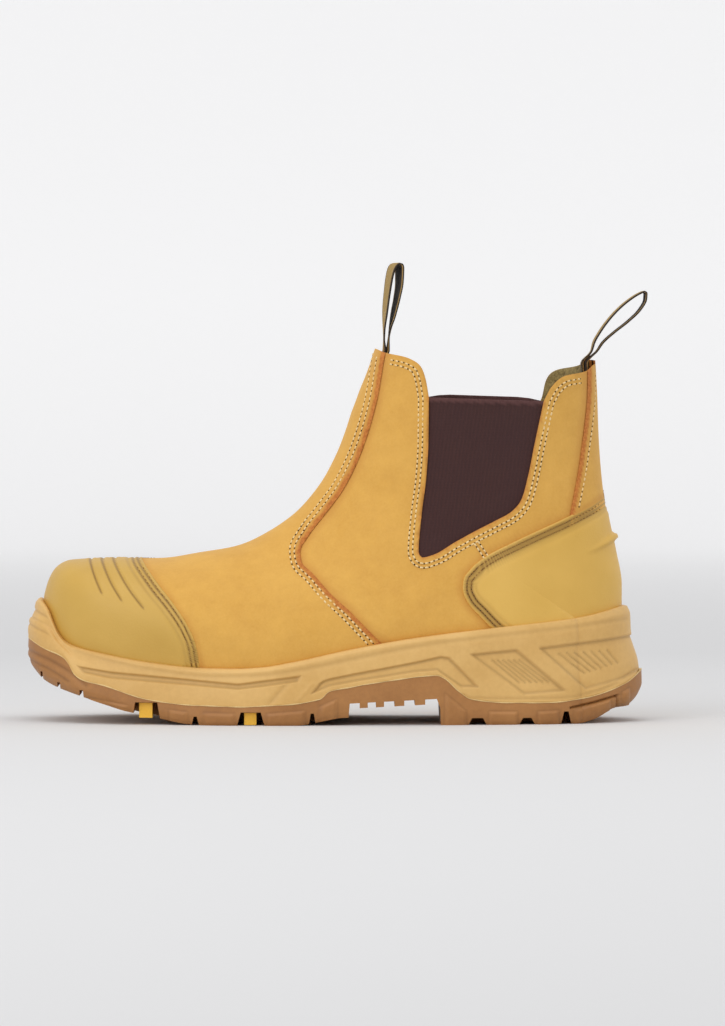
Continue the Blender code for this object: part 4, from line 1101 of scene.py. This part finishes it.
def plan_stations():
    """Rays from the middle of the sole: (centre at, direction x, direction y, toe weight,
    heel weight), from the toe tip down the outer side, round the heel and back."""
    outer = []
    for k in range(TOE_STEPS):
        angle = math.pi / 2 * k / TOE_STEPS
        outer.append((TOE_CENTRE_AT, -math.cos(angle), -math.sin(angle),
                      math.cos(angle) ** 2, 0.0))
    for k in range(SIDE_STEPS + 1):
        t = k / SIDE_STEPS
        # closer together towards the heel, where the ribbed panels are
        share = t + 0.35 * math.sin(math.pi * t) / math.pi
        outer.append((TOE_CENTRE_AT + (HEEL_CENTRE_AT - TOE_CENTRE_AT) * share, 0.0, -1.0,
                      0.0, 0.0))
    for k in range(1, HEEL_STEPS + 1):
        angle = math.pi / 2 * k / HEEL_STEPS
        outer.append((HEEL_CENTRE_AT, math.sin(angle), -math.cos(angle), 0.0,
                      math.sin(angle) ** 2))
    inner = [(at, dx, -dy, toe, heel) for at, dx, dy, toe, heel in outer[-2:0:-1]]
    return outer + inner


def rim_contour():
    """Plan points where rays from the middle of the sole meet the upper at the rim."""
    row, turn = np.meshgrid(fan_rows(0, TOP_ROW, 150), np.linspace(-1, 1, 161), indexing="ij")
    tree = surface_tree(base_point(row, turn))
    toe_shift = SECTIONS[1][4] * BALL_WIDTH
    contour = []
    for at, dx, dy, _, _ in plan_stations():
        start_y = toe_shift if at <= TOE_CENTRE_AT else 0.0
        x = float(x_at(at)) + dx * BALL_WIDTH * 0.4
        for _ in range(6):
            start = Vector((float(x_at(at)), start_y, float(rim(x))))
            hit = tree.ray_cast(start, Vector((dx, dy, 0.0)))[0]
            x = hit.x
        contour.append((hit.x, hit.y))
    return np.array(contour)


class Sole:
    """Rings round the sole, worked out from the upper's contour at the rim."""

    def __init__(self):
        self.contour = rim_contour()
        run = np.roll(self.contour, -2, axis=0) - np.roll(self.contour, 2, axis=0)
        run /= np.linalg.norm(run, axis=1)[:, None]
        out = np.column_stack([run[:, 1], -run[:, 0]])
        if np.sum(out * (self.contour - self.contour.mean(axis=0))) < 0:
            out = -out
        for _ in range(10):
            out = (np.roll(out, 1, axis=0) + out + np.roll(out, -1, axis=0)) / 3
        self.out = out / np.linalg.norm(out, axis=1)[:, None]
        weights = np.array([(toe, heel) for _, _, _, toe, heel in plan_stations()])
        self.toe, self.heel = weights[:, 0], weights[:, 1]

    def stand_out(self, toe, side, heel):
        return TOE_REACH * (side + (toe - side) * self.toe + (heel - side) * self.heel)

    def ring(self, stand_out, height):
        plan = self.contour + self.out * np.broadcast_to(stand_out, len(self.out))[:, None]
        return np.column_stack([plan, height(plan[:, 0])])

    def wall(self, tables, low, high, levels):
        """Rings up a side whose stand-out follows a table of levels."""
        tracks = [Track([(row[0], row[k]) for row in tables]) for k in (1, 2, 3)]
        return [self.ring(self.stand_out(*(track(level) for track in tracks)),
                          lambda x, level=level: low(x) * (1 - level) + high(x) * level)
                for level in levels]


def seat_line(x):
    return np.minimum(split(x), last_bottom(x) - CUP_FLOOR)


def raised(line, lift):
    return lambda x: line(x) + lift


# Fine ribs in the two recessed panels of the midsole: first rib's ends, last rib's ends
# (side view, millimetres) and how many
SIDE_RIBS = [((76.4, 31.5), (89.6, 20.4), (89.6, 31.5), (104.4, 20.4), 6),
             ((109.4, 34.5), (122.3, 24.6), (134.0, 35.6), (139.5, 29.2), 7)]
# Soft lines pressed into the midsole (side view, millimetres): path, half-width, depth
SIDE_LINES = [([(-128, 35.4), (-110, 30.6), (-88, 26.4), (-60, 23.6), (-36, 24.4), (-14, 27.6),
                (10, 32.6), (40, 38.4), (76, 43.0), (110, 46.6), (143, 50.6)], 1.3, 0.42),
              ([(-33, 10.4), (-24, 20.4)], 1.0, 0.45), ([(-19, 12.0), (-12, 20.0)], 0.8, -0.35),
              ([(62, 15.0), (66, 13.2), (92, 12.6), (112, 12.8), (130, 16.4), (149, 25.6)],
               0.7, 0.35)]
BUMPER_LINES = [([(-151.0, 55.2), (-143.5, 51.8)], 0.7, 0.55),
                ([(-152.5, 51.6), (-142.0, 47.6)], 0.7, 0.55),
                ([(-153.0, 47.8), (-143.0, 43.6)], 0.8, 0.5)]


def midsole_relief(points):
    """How far the midsole's side is pressed in at each place, and its shaded recess."""
    depth, recess_shade = np.zeros(len(points)), np.zeros(len(points))
    for rows in RELIEF:
        within = inside_polygon(on_sole(rows), points)
        step = smooth_step(-0.55 * MM, 0.55 * MM, within)
        depth = np.maximum(depth, RELIEF_DEPTH * step)
        recess_shade = np.maximum(recess_shade, np.exp(-((within - 0.5 * MM) / (0.7 * MM)) ** 2))
    for first_top, first_low, last_top, last_low, count in SIDE_RIBS:
        for k in range(count):
            t = k / (count - 1)
            path = side_view([np.array(first_top) * (1 - t) + np.array(last_top) * t,
                              np.array(first_low) * (1 - t) + np.array(last_low) * t])
            gap = np.abs(near_path(path, points)[0])
            line = np.exp(-(gap / (0.42 * MM)) ** 2)
            depth += 0.00055 * line
            recess_shade = np.maximum(recess_shade, 0.9 * line)
    for path, wide, deep in SIDE_LINES + BUMPER_LINES:
        gap = near_path(smooth_path(side_view(path), 40), points)[0]
        line = np.exp(-(gap / (wide * MM)) ** 2)
        depth += deep * MM * line
        if deep > 0:
            recess_shade = np.maximum(recess_shade, 0.35 * line)
    return depth, recess_shade


def press_in(obj, sole, relief):
    """Moves the side of a sole piece inwards by a relief in the side view."""
    places = places_of(obj)
    depth, recess_shade = relief(flat(places))
    count = len(sole.contour)
    tree = BVHTree.FromPolygons([(x, y, z) for z in (0.0, 1.0) for x, y in sole.contour],
                                [(i, (i + 1) % count, (i + 1) % count + count, i + count)
                                 for i in range(count)])
    nearest = np.array([tree.find_nearest(Vector((x, y, 0.5)))[2] for x, y, _ in places])
    outward = sole.out[nearest]
    beyond = np.einsum("ij,ij->i", places[:, :2] - sole.contour[nearest], outward)
    on_side = smooth_step(0.8 * MM, 2.6 * MM, beyond)
    places[:, :2] -= outward * (depth * on_side)[:, None]
    obj.data.vertices.foreach_set("co", places.reshape(-1))
    # keeps the painted shade of the recesses for the material
    paint(obj, "recess_shade", recess_shade * on_side)


def dress_midsole(sole, finish):
    low, high = raised(split, CLEARANCE / 2), rim
    levels = np.r_[np.linspace(0, 0.9, 54), np.linspace(0.9, 1.0, 10)[1:]]
    rings = [sole.ring(sole.stand_out(*MIDSOLE_WALL[0][1:]) - WRAP,
                       raised(seat_line, CLEARANCE / 2))]
    rings += sole.wall(MIDSOLE_WALL, low, high, levels)
    lip = sole.stand_out(*MIDSOLE_WALL[-1][1:])
    for inward, lift in ((0.25, 0.0003), (0.5, 0.0004), (0.8, 0.0002), (1.15, -0.0006)):
        rings.append(sole.ring(lip * (1 - inward), raised(rim, lift)))
    rings.append(sole.ring(-0.0015, raised(rim, -0.003)))
    rings.append(sole.ring(-0.0015, raised(last_bottom, -0.0005)))
    midsole = ring_solid("midsole_moulded", rings, finish["midsole"])
    press_in(midsole, sole, midsole_relief)
    settle(midsole, "midsole")


# Raised lugs on the outsole's side, in the side view: from, to (at) and height of the top
# at both ends (millimetres)
LUGS = [(0.034, 0.054, 15.5, 14.0), (0.076, 0.150, 12.8, 9.6), (0.216, 0.252, 7.6, 6.4),
        (0.276, 0.334, 6.2, 5.8), (0.385, 0.455, 5.9, 7.4), (0.476, 0.510, 9.4, 13.0),
        (0.692, 0.733, 15.5, 7.0), (0.768, 0.822, 6.6, 6.4), (0.852, 0.894, 6.4, 6.8),
        (0.916, 0.985, 7.0, 12.0), (1.000, 1.020, 15.0, 17.0)]
# Lines pressed into the outsole's side (side view, millimetres)
OUTSOLE_LINES = [([(-152.5, 35.0), (-141, 30.4), (-129.5, 24.2), (-123, 19.0)], 1.0, 0.55),
                 ([(-152.8, 30.6), (-142, 26.4), (-132, 20.8)], 0.8, 0.35),
                 ([(115.0, 7.9), (126, 10.2), (138.0, 13.4)], 0.55, 1.6),
                 ([(138.2, 13.4), (138.2, 6.0)], 0.5, 1.6)]


def outsole_relief(points):
    # how far the side is pressed in, and painted shade along the lugs' edges and in the pressed
    # lines
    depth, recess_shade = np.zeros(len(points)), np.zeros(len(points))
    for start, end, first, last in LUGS:
        low, high = float(x_at(start)), float(x_at(end))
        corners = [(low, -0.01), (low + 0.0008, first * MM), (high - 0.0008, last * MM),
                   (high, -0.01)]
        within = inside_polygon(corners, points)
        depth -= 0.0010 * smooth_step(-0.2 * MM, 1.4 * MM, within)
        recess_shade = np.maximum(recess_shade, 0.5 * np.exp(-((within + 0.4 * MM) / (0.5 * MM)) ** 2))
    for path, wide, deep in OUTSOLE_LINES:
        gap = near_path(smooth_path(side_view(path), 24), points)[0]
        line = np.exp(-(gap / (wide * MM)) ** 2)
        depth += deep * MM * line
        recess_shade = np.maximum(recess_shade, 0.8 * line)
    return depth, recess_shade


def notch(start, end, up):
    """A cut up from below the floor, narrower at its top, as a side view outline."""
    low, high = float(x_at(start)), float(x_at(end))
    top, below = up * RIM_HEIGHT, -RIM_HEIGHT
    lean = min(0.0009, (high - low) * 0.2)
    return [(low - lean, below), (low - lean, 0.0), (low + lean, top), (high - lean, top),
            (high + lean, 0.0), (high + lean, below)]


def arch_outline():
    """The arch, cut up from below the floor round its small lugs."""
    corners = on_sole(ARCH)
    start, end = corners[1], corners[2]
    lugs = []
    for first, last in ARCH_LUGS:
        for at, order in ((first, (0, 1)), (last, (1, 0))):
            x = float(x_at(at))
            roof = start[1] + (end[1] - start[1]) * (x - start[0]) / (end[0] - start[0])
            lugs += [(x, roof - down * ARCH_LUG_DROP) for down in order]
    return np.concatenate([corners[:2], lugs, corners[2:]])


def band(name, sole, outer, inner, low, high, material):
    """A closed band that runs round the sole between two offsets and two heights."""
    rings = [sole.ring(outer, low), sole.ring(outer, high), sole.ring(inner, high),
             sole.ring(inner, low)]
    count = len(sole.contour)
    index = np.arange(count * 4).reshape(4, count)
    near = np.roll(index, -1, axis=1)
    quads = np.stack([index, near, np.roll(near, -1, axis=0), np.roll(index, -1, axis=0)],
                     axis=-1).reshape(-1, 4)
    obj = add_mesh(name, np.concatenate(rings), quads, [material])
    tidy_mesh(obj)
    return obj


def dress_flash(sole, finish):
    """The thin, uneven line of squeezed-out foam where midsole and outsole are joined."""
    stand_out = sole.stand_out(*OUTSOLE_WALL[-1][1:])

    def uneven(x):
        return (0.22 + 0.16 * np.sin(x / MM * 0.37) * np.sin(x / MM * 0.113 + 0.8)) * MM

    flash = band("sole_flash", sole, stand_out + 0.22 * MM, stand_out - 1.5 * MM,
                 lambda x: split(x) - uneven(x), lambda x: split(x) + uneven(x + 0.04),
                 finish["flash"])
    settle(flash)


def dress_outsole(sole, finish):
    high = raised(split, -CLEARANCE / 2)
    rings = sole.wall(OUTSOLE_WALL, tread, high, np.linspace(0, 1, 44))
    first = sole.stand_out(*OUTSOLE_WALL[0][1:])
    rings = [sole.ring(first - inward, tread) for inward in (0.012, 0.005, 0.0015)] + rings
    rings.append(sole.ring(sole.stand_out(*OUTSOLE_WALL[-1][1:]) - WRAP,
                           raised(seat_line, -CLEARANCE / 2)))
    rubber = finish["rubber"]
    outsole = ring_solid("outsole_lugged", rings, rubber)
    press_in(outsole, sole, outsole_relief)
    below = lambda x: 0 * x - RIM_HEIGHT
    above = lambda x: 0 * x + RIM_HEIGHT
    # the slots and notches end in a channel, so that no light shows through under the sole
    slots = prism([notch(*row) for row in SIDE_SLOTS + CROSS_NOTCHES + TOE_NOTCHES], rubber)
    middle = first - SLOT_REACH - CHANNEL_WIDTH / 2
    core = ring_solid("core", [sole.ring(middle, below), sole.ring(middle, above)], rubber)
    cut(slots, core, "DIFFERENCE")
    channel = band("channel", sole, first - SLOT_REACH, first - SLOT_REACH - CHANNEL_WIDTH,
                   below, raised(tread, CHANNEL_DEPTH), rubber)
    for cutter in (prism([arch_outline()], rubber), slots, channel):
        cut(outsole, cutter, "DIFFERENCE")
    outsole.data.set_sharp_from_angle(angle=math.radians(38))
    settle(outsole, "outsole")


def dress_insole(finish):
    """The felt footbed, dished a little and with a soft rounded edge."""
    turns = np.linspace(0, -1, 60)
    rows = fan_rows(0, HEEL_ROW, 120)[1:]
    row = np.r_[np.zeros(len(turns)), rows]
    turn = np.r_[turns, -np.ones(len(rows))]

    def inside_edge(row, turn):
        base = base_point(row, turn)
        out = (skin(row, turn, 1.0) - base)[:, :2]
        out /= np.linalg.norm(out, axis=1)[:, None]
        return base[:, :2] - out * (WALL + INSOLE_PLAY)

    plan = np.concatenate([inside_edge(row, turn), inside_edge(row, -turn)[-2:0:-1]])
    count = len(plan)
    spine = np.column_stack([plan[:, 0], np.full(count, SECTIONS[3][4] * BALL_WIDTH * 0.3)])
    spine[:, 0] = np.clip(spine[:, 0], plan[:, 0].min() + 0.03, plan[:, 0].max() - 0.025)
    rings = [np.column_stack([plan, last_bottom(plan[:, 0]) + 0.0003])]
    for inward, lift in ((0.0, 0.6), (0.012, 0.85), (0.05, 1.0), (0.2, 0.98), (0.4, 0.9),
                         (0.6, 0.82), (0.8, 0.78), (0.97, 0.76)):
        ring = plan * (1 - inward) + spine * inward
        rings.append(np.column_stack([ring, last_bottom(ring[:, 0]) + INSOLE_THICKNESS * lift]))
    settle(ring_solid("insole_felt", rings, finish["footbed"]), "insole")


# Stitching
def evenly(path, pitch):
    """Places at an even pitch along a side view path."""
    run = np.linalg.norm(np.diff(path, axis=0), axis=1)
    along = np.r_[0, np.cumsum(run)]
    count = max(int(along[-1] / pitch), 1)
    where = (np.arange(count) + 0.5) * along[-1] / count
    return np.column_stack([np.interp(where, along, path[:, k]) for k in (0, 1)])


class Sewing:
    """Collects stitches and needle holes and makes each kind one mesh."""

    def __init__(self, seed=5):
        self.random = np.random.default_rng(seed)
        self.stitches, self.holes = [], []

    def row(self, path, height, sides=(-1, 1), pitch=2.5 * MM, length=2.0 * MM,
            thick=0.45 * MM, hole=0.38 * MM):
        """A row of stitches along a side view path, at a height over the quarters."""
        for side in sides:
            ends = evenly(path, pitch)
            row, turn = locate(ends, side)
            spot, normal = skin(row, turn, height), skin_normal(row, turn)
            size = np.linalg.norm(np.diff(spot, axis=0), axis=1)
            run = np.gradient(spot, axis=0)
            run /= np.linalg.norm(run, axis=1)[:, None] + 1e-12
            keep = np.r_[size, size[-1]] < 2.2 * pitch
            for p, n, t, ok in zip(spot, normal, run, keep):
                if not ok:
                    continue
                t = t - n * (t @ n)
                t /= np.linalg.norm(t) + 1e-12
                b = np.cross(n, t)
                slant = self.random.normal(0, 0.07)
                d = t * math.cos(slant) + b * math.sin(slant)
                stretch = length * self.random.uniform(0.92, 1.06)
                self.stitches.append((p, d, n, stretch, thick))
                self.holes.append((p + t * pitch / 2, t, n, hole))

    def make(self, name, material, hole_material):
        points, faces = [], []
        around, along = 6, 5
        for p, d, n, length, thick in self.stitches:
            b = np.cross(n, d)
            start = len(points)
            for k in range(along):
                u = 2 * k / (along - 1) - 1
                swell = max(0.25, (1 - u ** 4) ** 0.5) if abs(u) < 1 else 0.22
                centre = p + d * (u * length / 2) + n * thick * (0.55 * (1 - u * u) - 0.35)
                for j in range(around):
                    a = 2 * math.pi * j / around
                    points.append(centre + (b * math.cos(a) + n * math.sin(a) * 0.8)
                                  * thick * swell)
            for k in range(along - 1):
                for j in range(around):
                    a, c = start + k * around + j, start + k * around + (j + 1) % around
                    faces.append((a, c, c + around, a + around))
            faces.append(tuple(range(start, start + around))[::-1])
            faces.append(tuple(range(start + (along - 1) * around, start + along * around)))
        sewn = add_mesh(name + "_thread", points, faces, [material])
        points, faces = [], []
        # dark discs at the needle holes: painted shade of the holes
        for p, t, n, size in self.holes:
            b = np.cross(n, t)
            start = len(points)
            points.append(p + n * 0.06 * MM)
            for j in range(8):
                a = 2 * math.pi * j / 8
                points.append(p + (t * math.cos(a) * 1.05 + b * math.sin(a)) * size
                              + n * 0.02 * MM)
            for j in range(8):
                points.append(p + (t * math.cos(2 * math.pi * j / 8)
                                   + b * math.sin(2 * math.pi * j / 8)) * size * 0.8
                              - n * 0.3 * MM)
            for j in range(8):
                k = (j + 1) % 8
                faces.append((start, start + 1 + j, start + 1 + k))
                faces.append((start + 1 + j, start + 9 + j, start + 9 + k, start + 1 + k))
            faces.append(tuple(start + 9 + j for j in reversed(range(8))))
        pierced = add_mesh(name + "_holes", points, faces, [hole_material])
        for piece in (sewn, pierced):
            settle(piece)


# How far above the sole's rim the seams start, and how high their thread lies
SEAM_START = 1.2 * MM
THREAD_LIFT = 0.05 * MM


def below_collar(path):
    """The part of a side view path that lies below the collar."""
    front = near_path(FRONT_COLLAR_PATH, path)[0]
    rear = near_path(REAR_COLLAR_PATH, path)[0]
    return path[~((path[:, 0] < x_at(0.67)) & (front > -1.6 * MM)
                  | (path[:, 0] > x_at(0.86)) & (rear > -1.6 * MM))]


def sew(finish):
    sewing = Sewing()
    # vamp: two rows in front of its edge
    for inward in (2.7, 4.9):
        path = above_rim(beside(VAMP_PATH, -inward * MM), SEAM_START)
        sewing.row(below_collar(path), LAP + THREAD_LIFT)
    # gore and collar: two rows round the opening, going on along the collar
    top_front = FRONT_COLLAR_PATH[FRONT_COLLAR_PATH[:, 0] > x_at(0.592)]
    top_rear = REAR_COLLAR_PATH[REAR_COLLAR_PATH[:, 0] < x_at(0.938)]
    whole = np.concatenate([top_front, GORE_PATH[1:], top_rear[1:]])
    whole = smooth_path(whole, 300)
    for inward in (2.9, 5.0):
        sewing.row(beside(whole, -inward * MM)[2:-2], THREAD_LIFT)
    # back strip: one row behind its edge
    path = below_collar(beside(STRIP_PATH, 3.0 * MM))
    counter = near_path(COUNTER_PATH, path)[0]
    sewing.row(path[counter < -1.5 * MM], LAP + THREAD_LIFT)
    # short joint below the gore
    joint = side_view([(69.6, 90.3), (75.2, 82.0)])
    joint = smooth_path([joint[0], joint.mean(axis=0), joint[1]], 8)
    for shift in (-2.7, -0.6):
        sewing.row(beside(joint, shift * MM), 0.25 * MM)
    sewing.make("seams", finish["thread"], finish["hole"])
    # cap and counter: dull thread sunk in the two moulded grooves
    sunk = Sewing(9)
    for path, sign in ((CAP_PATH, -1), (COUNTER_PATH, 1)):
        for inward in SEWN_GROOVES:
            line = above_rim(beside(path, sign * inward * MM), SEAM_START)
            line = line[line[:, 0] < x_at(1.0)]
            sunk.row(line, OVERLAY - 0.62 * MM, pitch=1.7 * MM, length=1.25 * MM,
                     thick=0.30 * MM, hole=0.26 * MM)
    sunk.make("overlay_seams", finish["dull_thread"], finish["hole"])


# Pull loops: middle line of the tape as offsets along X and Z from where it leaves the
# collar, in shares of LOOP_WIDTH
FRONT_TAPE = [(-0.040, 0.30), (-0.010, 1.05), (0.070, 1.80), (0.170, 2.36), (0.250, 2.53),
              (0.330, 2.585), (0.400, 2.56), (0.440, 2.46), (0.430, 2.00), (0.360, 1.54),
              (0.230, 0.94), (0.110, 0.34)]
REAR_TAPE = [(0.130, 0.30), (0.200, 0.55), (0.380, 0.88), (0.790, 1.42), (1.230, 1.83),
             (1.660, 2.10), (1.740, 2.13), (1.800, 2.08), (1.790, 1.90), (1.630, 1.59),
             (1.250, 1.21), (0.820, 0.87), (0.470, 0.55), (0.300, 0.30)]


def inner_wall(offset):
    """The upper's inside at an offset, to lay the tails of the loops against."""
    row, turn = np.meshgrid(np.linspace(17, TOP_ROW, 60), np.linspace(-1, 1, 121),
                            indexing="ij")
    grid = skin(row, turn, np.full(row.shape, offset))
    grid[..., 1] = np.where(np.abs(turn) == 1, 0.0, grid[..., 1])
    return surface_tree(grid)


def tape(name, node, at, up, line, towards, twist, finish):
    """A pull loop: one woven tape, sewn in at both ends inside the collar."""
    base = on_upper([(at, up)])[0]
    free = base + np.array(line) * LOOP_WIDTH
    centre, columns, steps, thick = float(x_at(0.77)), 11, 150, 0.0010
    walls = [inner_wall(-WALL - 0.0011), inner_wall(-WALL - 0.0026)]
    if towards > 0:
        walls.reverse()
    sheet = []
    for c in np.linspace(-1, 1, columns):
        y = c * LOOP_WIDTH / 2
        ends = []
        for wall in walls:
            ends.append([(wall.ray_cast(Vector((centre, y, float(z))),
                                        Vector((towards, 0, 0)))[0].x, y, z)
                         for z in np.linspace(base[1] - 0.0125, base[1] - 0.0015, 5)])
        share = np.linspace(0, 1, len(free))
        angle = math.radians(twist) * np.sin(np.pi * share) ** 0.5
        loop = np.column_stack([free[:, 0] - np.sin(angle) * y, np.cos(angle) * y,
                                free[:, 1]])
        sheet.append(smooth_path(np.concatenate([ends[0], loop, ends[1][::-1]]), steps))
    sheet = np.array(sheet).transpose(1, 0, 2)
    run, width = np.gradient(sheet, axis=0), np.gradient(sheet, axis=1)
    normal = np.cross(run, width)
    normal /= np.linalg.norm(normal, axis=2)[..., None]
    round_off = 1 - 0.35 * np.abs(np.linspace(-1, 1, columns)) ** 6
    half = (thick / 2 * round_off)[None, :, None]
    points = np.concatenate([(sheet + normal * half).reshape(-1, 3),
                             (sheet - normal * half).reshape(-1, 3)])
    rows = steps + 1
    index = np.arange(rows * columns).reshape(rows, columns)
    faces, kinds = wall_faces(index, (index[:, 0], index[::-1, -1], index[0, ::-1],
                                      index[-1, :]), rows * columns)
    loop = add_mesh(name, points, faces, [finish["tape_outside"], finish["tape_inside"],
                                          finish["selvedge"]], kinds)
    across = np.tile(np.linspace(-8, 8, columns), rows)
    along = np.repeat(np.r_[0, np.cumsum(np.linalg.norm(np.diff(
        sheet[:, columns // 2], axis=0), axis=1))] / MM, columns)
    paint(loop, "across", np.r_[across, across])
    paint(loop, "along", np.r_[along, along])
    tidy_mesh(loop, 1e-8)
    settle(loop, node)


# Stage, light and camera
def stage():
    material, tree, shader = new_material("studio_paper", linear(232, 232, 233), 0.95)
    shader.inputs["Specular IOR Level"].default_value = 0.1
    # lighter away from the lamps, to even out the light on it
    axes = tree.nodes.new("ShaderNodeSeparateXYZ")
    tree.links.new(object_place(tree), axes.inputs["Vector"])
    away = spread(tree, axes.outputs["Y"], 0.8, 4.0)
    tree.links.new(blend_colour(tree, away, linear(222, 222, 223), linear(251, 251, 252)),
                   shader.inputs["Base Color"])
    tree.links.new(blend_colour(tree, away, (0.0, 0.0, 0.0), (1.0, 1.0, 1.0)),
                   shader.inputs["Emission Color"])
    shader.inputs["Emission Strength"].default_value = 0.18
    # the wall stands beyond the camera's distance, so that the boot shows from behind too
    profile = [(-4.0, 0.0)] + [(3.2 + 1.4 * math.sin(a), 1.4 - 1.4 * math.cos(a))
                               for a in np.linspace(0, math.pi / 2, 24)] + [(4.6, 4.0)]
    points = [(x, y, z) for x in (-6.0, 6.0) for y, z in profile]
    n = len(profile)
    paper = add_mesh("studio_paper", points, [(i, i + 1, n + i + 1, n + i) for i in range(n - 1)],
                     [material])


def aim(obj, place, target):
    """Puts a lamp or the camera at a place, pointing at a target."""
    obj.location = place
    obj.rotation_euler = (Vector(target) - Vector(place)).to_track_quat("-Z", "Y").to_euler()


def light(name, place, target, size, power):
    lamp = bpy.data.lights.new(name, "AREA")
    lamp.shape, lamp.size, lamp.energy = "SQUARE", size, power
    aim(add_object(name, lamp), place, target)


def lighting():
    world = bpy.data.worlds.new("studio")
    bpy.context.scene.world = world
    world.use_nodes = True
    world.node_tree.nodes["Background"].inputs["Color"].default_value = (1, 1, 1, 1)
    world.node_tree.nodes["Background"].inputs["Strength"].default_value = 0.66
    light("overhead", (-0.15, -0.55, 1.9), (0, 0, 0.05), 1.8, 13)
    light("front_left", (-1.5, -1.9, 1.0), (0, 0, 0.08), 1.4, 14)
    light("back_right", (1.4, 0.2, 0.9), (0.05, 0, 0.08), 0.9, 2)
    bpy.context.scene.view_settings.view_transform = "Standard"


CAMERA_DISTANCE = 3.4
CAMERA_ELEVATION = 1.2
SENSOR_HEIGHT = 36
VIEW_CENTRE = (0.01275, 0.0, 0.1026)
VIEW_HEIGHT = 0.5084


def camera():
    data = bpy.data.cameras.new("camera")
    data.sensor_fit, data.sensor_height = "VERTICAL", SENSOR_HEIGHT
    data.lens = SENSOR_HEIGHT * CAMERA_DISTANCE / VIEW_HEIGHT
    data.clip_end = 20
    obj = add_object("camera", data)
    tilt = math.radians(CAMERA_ELEVATION)
    centre = Vector(VIEW_CENTRE)
    aim(obj, centre + Vector((0, -math.cos(tilt), math.sin(tilt))) * CAMERA_DISTANCE, centre)
    bpy.context.scene.camera = obj


def finishes():
    return {
        "leather": nubuck(), "edge": raw_edge(),
        "lining": felted("lining_felt", linear(110, 90, 44), linear(176, 152, 92)),
        "overlay": coated("overlay_satin", linear(200, 158, 68), linear(211, 170, 80)),
        "counter": coated("counter_satin", linear(216, 171, 76), linear(228, 184, 90)),
        "midsole": moulded("foam_moulded", linear(213, 168, 96), linear(226, 183, 112), 0.5),
        "flash": plain("foam_flash", linear(238, 206, 142), 0.55),
        "rubber": moulded("outsole_gum", linear(160, 108, 56), linear(180, 126, 70), 0.55,
                          1100.0, 0.00012),
        "elastic": knitted_elastic(),
        "footbed": felted("footbed_pile", linear(88, 72, 40), linear(134, 114, 68)),
        "tape_outside": webbing("tape_tan", linear(128, 98, 40), linear(190, 156, 78),
                                linear(70, 50, 28)),
        "tape_inside": webbing("tape_dark", linear(22, 15, 11), linear(58, 42, 28),
                               linear(186, 150, 88)),
        "selvedge": plain("tape_selvedge", linear(40, 28, 18), 0.85, 1200),
        "thread": thread(),
        "dull_thread": plain("thread_ochre", linear(150, 108, 44), 0.75, 1500),
        # painted shade: dark colour for the needle holes' discs
        "hole": plain("needle_hole_shade", linear(44, 24, 12), 0.9, 1200),
        "cleat": plain("cleat_yellow", linear(253, 196, 58), 0.45, 900, 0.93)}


def main():
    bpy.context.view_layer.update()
    finish = finishes()
    camera()
    dress_upper(finish)
    dress_cap(finish)
    dress_counter(finish)
    dress_gores(finish)
    sole = Sole()
    dress_midsole(sole, finish)
    dress_outsole(sole, finish)
    dress_flash(sole, finish)
    dress_insole(finish)
    sew(finish)
    tape("pull_loop_front_tape", "pull_loop_front", 0.592, FRONT_LOOP_UP, FRONT_TAPE, -1, 15,
         finish)
    tape("pull_loop_rear_tape", "pull_loop_rear", 0.945, REAR_LOOP_UP, REAR_TAPE, 1, 3, finish)
    for node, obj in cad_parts.items():
        if node.startswith("cleat"):
            for slot in obj.material_slots:
                slot.material = finish["cleat"]
    stage()
    lighting()


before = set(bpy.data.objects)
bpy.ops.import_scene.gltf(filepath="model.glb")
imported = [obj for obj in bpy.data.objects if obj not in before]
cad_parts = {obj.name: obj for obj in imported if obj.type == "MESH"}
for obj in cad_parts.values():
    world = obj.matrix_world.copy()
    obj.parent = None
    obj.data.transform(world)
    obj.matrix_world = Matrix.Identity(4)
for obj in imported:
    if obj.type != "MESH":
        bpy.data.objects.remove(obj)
main()
